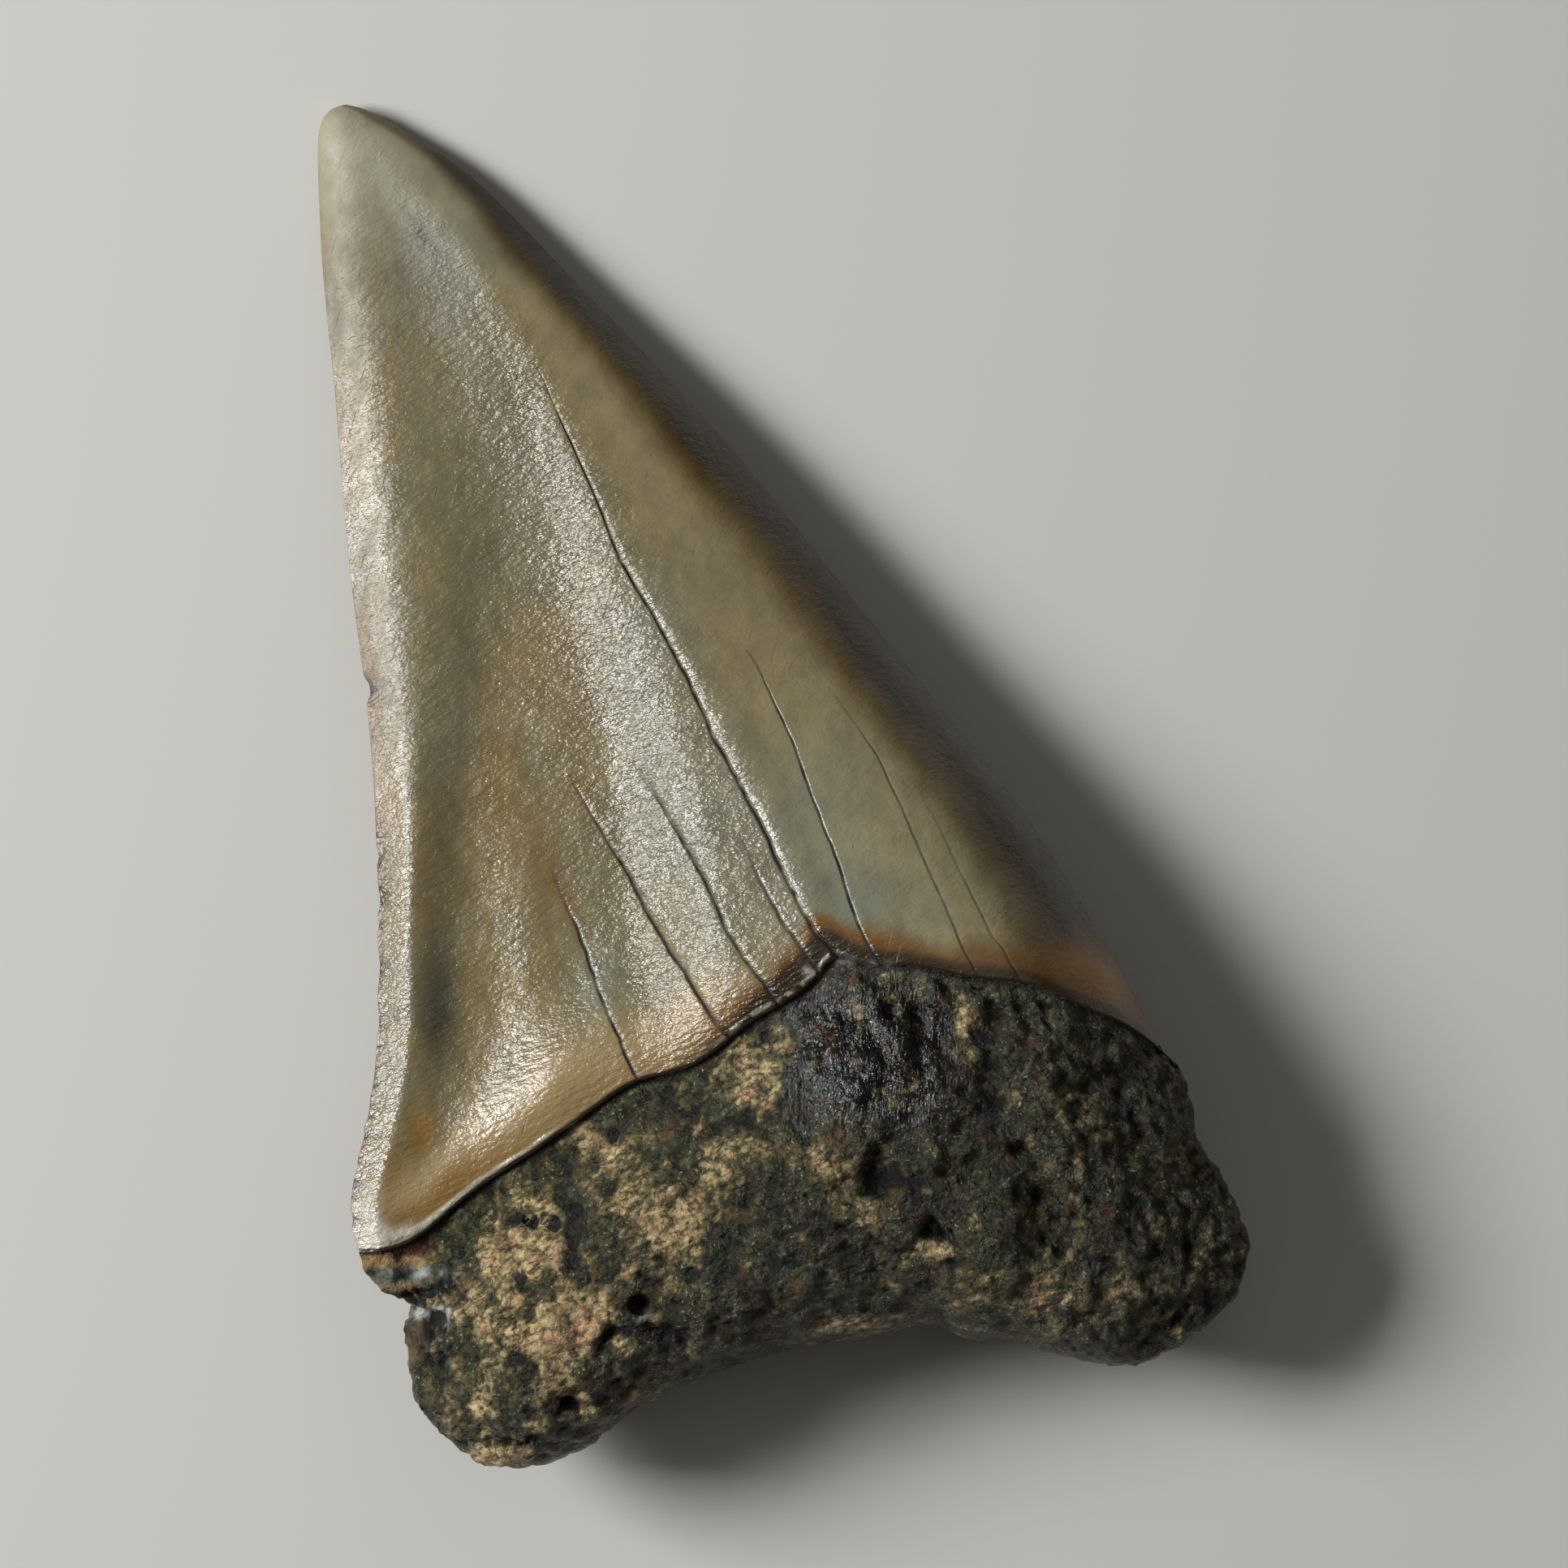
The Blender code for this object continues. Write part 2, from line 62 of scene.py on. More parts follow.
class Face(Enum):
    """The two faces of the tooth as it lies: the outer one up, the inner one down."""

    OUTER = 1
    INNER = -1


class Region(Enum):
    """Stretches of the tooth that have a finish of their own, as material indices."""

    CROWN = 0
    ROOT = 1


def linear(hex_colour: str, alpha: float = 1.0) -> tuple[float, float, float, float]:
    """Turn an sRGB hex colour into linear values.

    Args:
        hex_colour: Colour such as "#8a8270".
        alpha: Opacity.

    Returns:
        Linear red, green, blue and alpha.
    """
    parts = [int(hex_colour[i:i + 2], 16) / 255.0 for i in (1, 3, 5)]
    low = [c / 12.92 if c <= 0.04045 else ((c + 0.055) / 1.055) ** 2.4 for c in parts]
    return low[0], low[1], low[2], alpha


def smooth_step(x: Any) -> Any:
    """Ease a number or an array from 0 to 1."""
    x = np.clip(x, 0.0, 1.0)
    return x * x * (3.0 - 2.0 * x)


def ease(x: Any, span: tuple[float, float]) -> Any:
    """Ease from 0 at the start of a span to 1 at its end, which may lie below the start."""
    start, end = span
    return smooth_step((x - start) / (end - start))


def soft_min(a: np.ndarray, b: np.ndarray, crease: float) -> np.ndarray:
    """Take the lower of two heights, with the crease between them rounded.

    Args:
        a: First height.
        b: Second height.
        crease: Sharpness of the crease.

    Returns:
        The lower height, which stays zero where either one is zero.
    """
    a, b = np.maximum(a, 1e-6), np.maximum(b, 1e-6)
    low = np.minimum(a, b)
    return low * ((low / a) ** crease + (low / b) ** crease) ** (-1.0 / crease)


def spline(x: Any, knots: Any, values: Any) -> np.ndarray:
    """Read a natural cubic curve through values at knots.

    Args:
        x: Where to read it.
        knots: Rising places of the values.
        values: One row for each knot.

    Returns:
        One row for each x.
    """
    knots = np.asarray(knots, float)
    values = np.asarray(values, float).reshape(len(knots), -1)
    gap = np.diff(knots)
    rate = np.diff(values, axis=0) / gap[:, None]
    last = len(knots) - 1
    system = np.zeros((last + 1, last + 1))
    right = np.zeros_like(values)
    system[0, :2] = (2.0, 1.0)
    right[0] = 3.0 * rate[0]
    system[last, last - 1:] = (1.0, 2.0)
    right[last] = 3.0 * rate[-1]
    for i in range(1, last):
        system[i, i - 1:i + 2] = (gap[i], 2.0 * (gap[i - 1] + gap[i]), gap[i - 1])
        right[i] = 3.0 * (gap[i] * rate[i - 1] + gap[i - 1] * rate[i])
    tangent = np.linalg.solve(system, right)
    x = np.clip(np.asarray(x, float), knots[0], knots[-1])
    k = np.clip(np.searchsorted(knots, x, side="right") - 1, 0, last - 1)
    h = gap[k][:, None]
    s = ((x - knots[k]) / gap[k])[:, None]
    start = values[k] * (1.0 + 2.0 * s) * (1.0 - s) ** 2 + tangent[k] * h * s * (1.0 - s) ** 2
    end = values[k + 1] * s * s * (3.0 - 2.0 * s) + tangent[k + 1] * h * s * s * (s - 1.0)
    return start + end


def soft_table(share: float, pairs: Points) -> float:
    """Read a table of heights as a smooth curve at one share of the way."""
    knots, values = zip(*pairs)
    return float(spline([share], knots, values)[0, 0])


def even_curve(points: Points, count: int = CURVE_POINTS) -> np.ndarray:
    """Run a smooth curve through plan points.

    Args:
        points: Plan points in millimetres.
        count: How many points to return.

    Returns:
        Evenly spaced points of the curve.
    """
    corners = np.array(points, float)
    along = np.concatenate(([0.0], np.cumsum(np.linalg.norm(np.diff(corners, axis=0), axis=1))))
    fine = spline(np.linspace(0.0, along[-1], 4 * count), along, corners)
    run = np.concatenate(([0.0], np.cumsum(np.linalg.norm(np.diff(fine, axis=0), axis=1))))
    even = np.linspace(0.0, run[-1], count)
    return np.column_stack([np.interp(even, run, fine[:, k]) for k in (0, 1)])


def read_curve(curve: np.ndarray, share: Any) -> np.ndarray:
    """Read the plan points of an even curve at shares of its length."""
    place = np.linspace(0.0, 1.0, len(curve))
    return np.stack([np.interp(share, place, curve[:, k]) for k in (0, 1)], axis=-1)


def fractal(places: np.ndarray, size: Any, octaves: int = 3, shift: float = 0.0) -> np.ndarray:
    """Sample fractal noise.

    Args:
        places: Points in millimetres.
        size: Size of the largest bumps, one number or one for each axis.
        octaves: Levels of detail.
        shift: Moves the pattern, so that two uses differ.

    Returns:
        One value for each point, about -1 to 1.
    """
    scaled = places / np.asarray(size, float) + shift
    return np.array([noise.fractal(Vector(p), 0.9, 2.1, octaves) for p in scaled])


def cells(places: np.ndarray, size: Any, shift: float = 0.0) -> np.ndarray:
    """Sample the distance to the nearest centre of random cells, 0 at the centre."""
    scaled = places / np.asarray(size, float) + shift
    return np.array([noise.voronoi(Vector(p))[0][0] for p in scaled])


def turn_about(x: Any, y: Any, centre: tuple[float, float], turn: tuple[float, float]) -> tuple[Any, Any]:
    """Plan coordinates about a centre, turned by the cosine and sine of an angle.

    Args:
        x: Plan coordinate.
        y: Plan coordinate.
        centre: Where it turns.
        turn: Cosine and sine of the angle.

    Returns:
        The turned x and y, counted from the centre.
    """
    across, along = x - centre[0], y - centre[1]
    cosine, sine = turn
    return across * cosine - along * sine, across * sine + along * cosine


def blobs(x: np.ndarray, y: np.ndarray, places: Sequence[tuple[float, ...]]) -> np.ndarray:
    """Add up soft patches.

    Args:
        x: Plan coordinate in millimetres.
        y: Plan coordinate in millimetres.
        places: Rows of centre x, centre y, half width, half length and strength.

    Returns:
        Strength at each point.
    """
    total = np.zeros_like(x)
    for cx, cy, rx, ry, strength in places:
        total += strength * np.exp(-((x - cx) / rx) ** 2 - ((y - cy) / ry) ** 2)
    return total


@dataclass(frozen=True)
class Crack:
    """A growth crack of the enamel, from its upper end down, in millimetres."""

    points: Points
    depth: float = 0.12
    step: float = 0.0
    stain: float = 0.0
    spread: float = 0.30


@dataclass(frozen=True)
class Outline:
    """Plan outlines of the tooth in millimetres."""

    tip: tuple[float, float] = (-16.25, 25.30)
    left_edge: Points = (
        (-16.25, 25.30), (-16.85, 25.08), (-17.20, 24.55), (-17.30, 23.80), (-17.26, 21.80),
        (-17.02, 18.20), (-16.63, 14.60), (-16.35, 11.00), (-15.99, 7.40), (-15.52, 3.80),
        (-15.16, 0.20), (-15.00, -3.40), (-14.98, -7.00), (-15.00, -9.60), (-15.22, -11.60),
        (-15.62, -13.60), (-15.93, -15.40), (-15.88, -16.60), (-15.62, -17.25),
    )
    right_edge: Points = (
        (-16.25, 25.30), (-15.55, 25.12), (-14.60, 24.62), (-12.70, 23.46), (-10.68, 21.78),
        (-8.36, 19.38), (-6.03, 16.98), (-3.78, 14.58), (-1.65, 12.18), (0.33, 9.78),
        (2.25, 7.38), (4.15, 4.98), (6.14, 2.58), (8.05, 0.18), (9.76, -2.22), (11.22, -4.62),
        (12.60, -7.02), (14.12, -9.87),
    )
    outer_margin: Points = (
        (-15.62, -17.25), (-14.70, -17.20), (-13.70, -16.85), (-11.80, -15.35), (-10.25, -14.25),
        (-8.65, -13.20), (-6.60, -11.70), (-5.35, -10.95), (-3.40, -10.38), (-1.00, -8.65),
        (0.45, -7.80), (1.40, -6.95), (2.15, -6.30), (2.90, -6.55), (4.45, -6.62),
        (6.90, -7.05), (9.50, -7.42), (11.20, -8.20), (12.50, -8.75), (14.12, -9.87),
    )
    inner_margin: Points = (
        (-15.62, -17.25), (-13.40, -14.00), (-9.60, -9.20), (-4.80, -4.60), (-0.60, -2.60),
        (3.40, -2.50), (7.20, -3.90), (10.80, -6.50), (14.12, -9.87),
    )
    left_root: Points = (
        (-15.62, -17.33), (-15.50, -17.90), (-15.15, -18.45), (-14.55, -18.85), (-14.05, -18.95),
        (-13.72, -19.20), (-13.80, -19.80), (-13.86, -20.60), (-13.76, -21.50), (-13.58, -22.60),
    )
    right_root: Points = (
        (14.12, -9.95), (14.76, -10.60), (15.17, -11.80), (15.40, -13.00), (16.08, -14.20),
        (16.76, -15.50), (17.22, -16.80), (17.25, -17.80), (16.80, -19.00),
    )
    basal_edge: Points = (
        (-13.58, -22.60), (-12.85, -23.85), (-12.05, -24.60), (-11.10, -25.02), (-9.90, -25.30),
        (-8.60, -25.06), (-7.20, -24.45), (-5.80, -23.43), (-4.60, -22.66), (-2.60, -21.90),
        (-0.40, -21.12), (1.90, -20.62), (4.10, -20.31), (5.60, -19.98), (6.90, -20.50),
        (8.60, -20.62), (10.30, -21.18), (12.10, -21.46), (13.90, -21.28), (15.40, -20.28),
        (16.80, -19.00),
    )

    def margin(self, face: Face) -> Points:
        """Enamel margin of a face."""
        return self.outer_margin if face is Face.OUTER else self.inner_margin


class CrownPlan:
    """Where a share of the crown's width and a share of its length lie in plan."""

    def __init__(self, outline: Outline, face: Face) -> None:
        """Run the curves of one face.

        Args:
            outline: Plan outlines.
            face: Face whose enamel margin ends the crown.
        """
        self.left = even_curve(outline.left_edge)
        self.right = even_curve(outline.right_edge)
        margin = outline.margin(face)
        self.corners = np.array([margin[0], margin[-1]])
        line = even_curve(margin)
        self.margin = line[np.argsort(line[:, 0])]

    def chord(self, across: Any) -> tuple[Any, Any]:
        """Plan point on the straight line between the two enamel corners."""
        start, end = self.corners
        return start[0] + across * (end[0] - start[0]), start[1] + across * (end[1] - start[1])

    def bow(self, across: Any) -> Any:
        """Height of the enamel margin over the straight line between its corners."""
        x, y = self.chord(across)
        return np.interp(x, self.margin[:, 0], self.margin[:, 1]) - y

    def place(self, across: Any, down: float) -> tuple[Any, Any]:
        """Plan point at shares across and a share down the crown.

        Args:
            across: Shares of the width, 0 on the left cutting edge.
            down: Share of the length, 0 at the tip.

        Returns:
            The x and y of each point.
        """
        left, right = read_curve(self.left, down), read_curve(self.right, down)
        x = left[..., 0] + across * (right[..., 0] - left[..., 0])
        chord = left[..., 1] + across * (right[..., 1] - left[..., 1])
        return x, chord + down ** 2 * self.bow(across)

    def width(self, down: float) -> float:
        """Width of the crown at a share of its length."""
        return float(np.linalg.norm(read_curve(self.right, down) - read_curve(self.left, down)))

    def find(self, x: float, y: float) -> tuple[float, float]:
        """Shares across and down of a plan point, by halving the crown.

        Args:
            x: Plan coordinate.
            y: Plan coordinate.

        Returns:
            Share across and share down.
        """
        low, high = 0.0, 1.0
        across = 0.0
        for _ in range(30):
            down = 0.5 * (low + high)
            left, right = read_curve(self.left, down), read_curve(self.right, down)
            across = float(np.clip((x - left[0]) / max(right[0] - left[0], 1e-6), 0.0, 1.0))
            if self.place(across, down)[1] > y:
                low = down
            else:
                high = down
        return across, 0.5 * (low + high)


class RootPlan:
    """Plan of the root between an enamel margin and the basal edge."""

    def __init__(self, outline: Outline, crown: CrownPlan, step: float) -> None:
        """Run the border curves.

        Args:
            outline: Plan outlines.
            crown: Plan of the crown above it.
            step: Plan width of the step under the enamel.
        """
        self.crown = crown
        self.step = step
        self.left = even_curve(outline.left_root)
        self.right = even_curve(outline.right_root)
        self.basal = even_curve(outline.basal_edge)

    def place(self, shares: np.ndarray, down: float) -> tuple[np.ndarray, np.ndarray]:
        """Plan points of a root row, filled in between its four border curves.

        Args:
            shares: Shares of the width.
            down: Share of the way from the enamel to the basal edge.

        Returns:
            The x and y of each point.
        """
        left, right = read_curve(self.left, down), read_curve(self.right, down)
        x, y = self.crown.chord(shares)
        top = np.stack([x, y + self.crown.bow(shares) - self.step], axis=-1)
        bottom = read_curve(self.basal, shares)
        a = shares[:, None]
        corners = (1.0 - a) * ((1.0 - down) * top[0] + down * bottom[0])
        corners = corners + a * ((1.0 - down) * top[-1] + down * bottom[-1])
        filled = (1.0 - down) * top + down * bottom + (1.0 - a) * left + a * right - corners
        return filled[:, 0], filled[:, 1]


@dataclass(frozen=True)
class CrownShape:
    """Heights of the crown in millimetres, against the share of the way from tip to margin."""

    edge_height: Points = (
        (0.0, 0.75), (0.10, 1.00), (0.30, 1.90), (0.50, 3.10), (0.70, 4.30), (0.90, 5.55), (1.0, 6.20),
    )
    ridge_rise: Points = (
        (0.0, 0.0), (0.01, 0.34), (0.03, 0.60), (0.08, 0.90), (0.20, 1.32), (0.40, 1.92),
        (0.60, 2.48), (0.80, 3.14), (1.0, 3.65),
    )
    bevel_rise: Points = (
        (0.0, 0.0), (0.01, 0.24), (0.03, 0.40), (0.14, 0.70), (0.26, 0.88), (0.45, 0.88),
        (0.60, 0.75), (0.80, 0.64), (0.90, 0.50), (1.0, 0.32),
    )
    inner_depth: Points = (
        (0.0, 0.0), (0.01, 0.42), (0.03, 0.74), (0.10, 0.98), (0.20, 1.15), (0.37, 1.75),
        (0.60, 2.90), (0.80, 4.00), (1.0, 4.80),
    )
    flute_place: Points = (
        (0.0, 0.48), (0.14, 0.40), (0.22, 0.31), (0.36, 0.27), (0.46, 0.24), (0.57, 0.18),
        (0.75, 0.12), (1.0, 0.09),
    )
    ridge_place: float = 0.72
    ridge_fall: float = 0.40
    left_slope: Points = (
        (0.0, 0.90), (0.10, 0.80), (0.18, 0.60), (0.28, 0.52), (0.50, 0.53), (0.64, 0.60), (0.78, 0.60),
        (0.90, 0.53), (1.0, 0.52),
    )
    right_slope: Points = ((0.0, 1.0), (0.20, 1.0), (0.40, 0.86), (0.60, 0.74), (1.0, 0.72))
    left_crease: tuple[float, float] = (3.0, 8.0)
    right_crease: float = 4.0
    flank_place: Points = (
        (0.0, 0.60), (0.22, 0.64), (0.34, 0.60), (0.42, 0.56), (0.50, 0.51), (0.62, 0.485),
        (0.80, 0.44), (1.0, 0.42),
    )
    flank_half: float = 0.075
    flank_start: tuple[float, float] = (0.06, 0.20)
    flank_share: Points = (
        (0.0, 0.15), (0.25, 0.20), (0.45, 0.30), (0.62, 0.31), (0.78, 0.46), (1.0, 0.50),
    )
    flank_fade: tuple[float, float] = (0.65, 3.0)
    tip_rounded: tuple[float, float] = (0.04, 0.20)
    foot_rise: float = 0.66
    foot_above_margin: float = 2.0
    foot_width: float = 2.0
    foot_from_edge: tuple[float, float] = (3.0, 8.2)
    foot_across: tuple[float, float] = (0.46, 0.24)
    foot_down: tuple[float, float] = (0.60, 0.85)
    fold_place: float = 0.235
    fold_half: float = 0.05
    fold_rise: float = 0.15
    fold_down: tuple[float, float] = (0.56, 0.78)
    fold_above: tuple[float, float] = (2.5, 5.0)
    rim_down: tuple[float, float] = (0.80, 0.95)
    rim_inward: tuple[float, float] = (0.34, 0.44)
    rim_drop: tuple[float, float] = (0.14, 0.32)
    rim_reach: tuple[float, float] = (0.35, 0.75)
    flute_hollow: float = 0.12
    rim_line: float = 0.07
    rim_above: float = 0.11
    rim_half: float = 0.06
    rim_strength: Points = (
        (0.0, 1.0), (0.22, 0.8), (0.28, 0.2), (0.44, 0.1), (0.48, 0.6), (0.59, 0.6), (0.62, 0.0),
        (1.0, 0.0),
    )
    corner_reach: float = 1.5
    corner_lift: float = 0.30
    corner_half: float = 0.20
    corner_rise: float = 0.08

    def edge(self, down: float) -> float:
        """Height of the cutting edges."""
        knots, values = zip(*self.edge_height)
        return float(np.interp(down, knots, values))

    def outer(self, across: np.ndarray, down: float, width: float, above: np.ndarray) -> np.ndarray:
        """Rise of the outer face over the cutting edges.

        Args:
            across: Shares of the width.
            down: Share of the crown's length.
            width: Width of the crown there.
            above: Distance above the enamel margin.

        Returns:
            One height for each share.
        """
        ridge = soft_table(down, self.ridge_rise)
        body = self.ridge_and_flute(across, down, above, ridge) + self.swellings(across, down, width, above)
        body = body + self.rim(across, down, width, above)
        left = soft_table(down, self.left_slope) * across * width
        right = soft_table(down, self.right_slope) * (1.0 - across) * width
        soft, crisp = self.left_crease
        crease = soft + (crisp - soft) * float(smooth_step((down - 0.50) / 0.20))
        trimmed = soft_min(right, soft_min(left, body, crease), self.right_crease)
        lens = 0.9 * ridge * (1.0 - np.abs(2.0 * across - 1.0) ** 2.2) ** 0.75
        rise = lens + (trimmed - lens) * ease(down, self.tip_rounded)
        return np.where((across <= 0.0) | (across >= 1.0), 0.0, rise)

    def ridge_and_flute(
        self, across: np.ndarray, down: float, above: np.ndarray, ridge: float
    ) -> np.ndarray:
        """Rise of the flute, the steep flank beside it and the ridge.

        Args:
            across: Shares of the width.
            down: Share of the crown's length.
            above: Distance above the enamel margin.
            ridge: Rise of the ridge there.

        Returns:
            One height for each share.
        """
        bevel = soft_table(down, self.bevel_rise)
        flute = soft_table(down, self.flute_place)
        broad = smooth_step((across - flute) / (self.ridge_place - flute))
        flank = soft_table(down, self.flank_place)
        steep = smooth_step((across - flank) / (2.0 * self.flank_half) + 0.5)
        loss, reach = self.flank_fade
        steepness = soft_table(down, self.flank_share) * (1.0 - loss * np.exp(-above / reach))
        climb = broad + steepness * (steep - broad) * ease(down, self.flank_start)
        beyond = np.clip((across - self.ridge_place) / (1.0 - self.ridge_place), 0.0, 1.0)
        before = np.clip((flute - across) / flute, 0.0, 1.0)
        share = climb - self.ridge_fall * beyond ** 2 + self.flute_hollow * before ** 2
        return bevel + (ridge - bevel) * share

    def swellings(self, across: np.ndarray, down: float, width: float, above: np.ndarray) -> np.ndarray:
        """Rise of the soft fold in the flute and of the swelling just above the enamel margin.

        Args:
            across: Shares of the width.
            down: Share of the crown's length.
            width: Width of the crown there.
            above: Distance above the enamel margin.

        Returns:
            One height for each share.
        """
        fold = self.fold_rise * np.exp(-((across - self.fold_place) / self.fold_half) ** 2)
        fold = fold * ease(down, self.fold_down) * ease(above, self.fold_above)
        foot = self.foot_rise * np.exp(-((above - self.foot_above_margin) / self.foot_width) ** 2)
        foot = foot * ease(across * width, self.foot_from_edge)
        return fold + foot * ease(across, self.foot_across) * ease(down, self.foot_down)

    def rim(self, across: np.ndarray, down: float, width: float, above: np.ndarray) -> np.ndarray:
        """Fall of the enamel towards its lower end, with the crumbled bead along it.

        Args:
            across: Shares of the width.
            down: Share of the crown's length.
            width: Width of the crown there.
            above: Distance above the enamel margin.

        Returns:
            One height for each share.
        """
        inward = ease(across, self.rim_inward)
        drop, reach = (start + (end - start) * inward for start, end in (self.rim_drop, self.rim_reach))
        corner = np.exp(-across * width / self.corner_reach)
        bead_above = self.rim_above + self.corner_lift * corner
        from_crest = (above - bead_above) / (self.rim_half + self.corner_half * corner)
        uneven = np.array([noise.fractal(Vector((a * 80.0, 0.4, 0.9)), 0.8, 2.1, 3) for a in across])
        crest = self.rim_line * np.maximum(0.6 + 1.3 * uneven, 0.0)
        crest = crest * np.interp(across, *zip(*self.rim_strength))
        bead = (crest + self.corner_rise * corner) * np.exp(-from_crest ** 2)
        return (bead - drop * np.exp(-above / reach)) * ease(down, self.rim_down)

    def inner(self, across: np.ndarray, down: float) -> np.ndarray:
        """Depth of the inner face under the cutting edges."""
        depth = soft_table(down, self.inner_depth)
        return depth * (1.0 - np.abs(2.0 * across - 1.0) ** 2.3) ** 0.8


@dataclass(frozen=True)
class RootShape:
    """Heights and lumps of the root in millimetres."""

    basal_height: float = 5.4
    top: float = 10.30
    fall: float = 0.014
    rounding: float = 4.6
    bulge: tuple[float, ...] = (3.6, -10.4, 3.0, 0.55)
    torus_centre: tuple[float, float] = (-1.0, -10.3)
    torus_reach: tuple[float, float] = (9.4, 4.2)
    torus_depth: float = 2.7
    worn_flat: float = 0.28
    lump_size: float = 2.6
    lump_rise: float = 0.30
    inner_pit: tuple[float, ...] = (-0.6, -13.9, 0.8, 0.7)
    outer_pits: Sequence[tuple[float, ...]] = (
        (3.6, -14.2, 0.55, 0.50), (-5.2, -19.0, 0.50, 0.40), (-7.7, -22.6, 0.50, 0.40),
        (-9.0, -16.6, 0.80, 0.35), (9.4, -15.2, 0.70, 0.25), (-1.5, -16.2, 0.80, 0.30),
        (12.6, -18.0, 0.80, 0.25), (0.6, -12.0, 0.60, 0.20),
    )
    outer_grooves: Sequence[tuple[float, ...]] = (
        (4.95, -9.0, 0.35, 1.6, 0.30), (7.80, -9.2, 0.40, 1.4, 0.22),
    )

    def pit(self, x: np.ndarray, y: np.ndarray, place: Sequence[float]) -> np.ndarray:
        """Depth of a round pit, given its centre, radius and depth."""
        cx, cy, radius, depth = place
        return depth * np.exp(-((x - cx) ** 2 + (y - cy) ** 2) / radius ** 2)

    def groove(self, x: np.ndarray, y: np.ndarray, place: Sequence[float]) -> np.ndarray:
        """Depth of an upright groove, given its centre, half width, half length and depth."""
        cx, cy, half_width, half_length, depth = place
        return depth * np.exp(-((x - cx) / half_width) ** 2 - ((y - cy) / half_length) ** 4)

    def rounded(self, inset: np.ndarray) -> np.ndarray:
        """Share of the full height at a distance in from the outline."""
        share = np.clip(inset / self.rounding, 0.0, 1.0)
        return np.sqrt(1.0 - (1.0 - share) ** 2)

    def outer(self, x: np.ndarray, y: np.ndarray, inset: np.ndarray, edge: float) -> np.ndarray:
        """Height of the outer face, before the step at the enamel.

        Args:
            x: Plan coordinate.
            y: Plan coordinate.
            inset: Distance in from the outline.
            edge: Height of the outline there.

        Returns:
            One height for each point.
        """
        top = self.top - self.fall * (x - 1.0) ** 2 + self.pit(x, y, self.bulge)
        height = edge + (top - edge) * self.rounded(inset)
        hollow = sum(self.pit(x, y, place) for place in self.outer_pits)
        hollow = hollow + sum(self.groove(x, y, place) for place in self.outer_grooves)
        lumps = self.lump_rise * fractal(np.stack([x, y, height], axis=-1), self.lump_size)
        return height + (lumps - hollow) * smooth_step(inset / 0.8)

    def inner(self, x: np.ndarray, y: np.ndarray, inset: np.ndarray, edge: float) -> np.ndarray:
        """Height of the inner face, with the worn flat that the tooth rests on.

        Args:
            x: Plan coordinate.
            y: Plan coordinate.
            inset: Distance in from the outline.
            edge: Height of the outline there.

        Returns:
            One height for each point, never below the board.
        """
        across = (x - self.torus_centre[0]) / self.torus_reach[0]
        along = (y - self.torus_centre[1]) / self.torus_reach[1]
        reach = across ** 2 + along ** 2
        low = self.torus_depth * (1.0 - np.exp(-0.5 * reach)) - self.worn_flat
        lumps = 0.6 * self.lump_rise * fractal(np.stack([x, y, low], axis=-1), self.lump_size)
        low = low + lumps * smooth_step((reach - 0.3) / 0.6) + self.pit(x, y, self.inner_pit)
        return np.maximum(edge - (edge - low) * self.rounded(inset), 0.0)


@dataclass
class Ring:
    """One row of the tooth's mesh on one face."""

    places: np.ndarray
    across: np.ndarray
    down: float
    above: np.ndarray
    crack: np.ndarray
    stain: np.ndarray


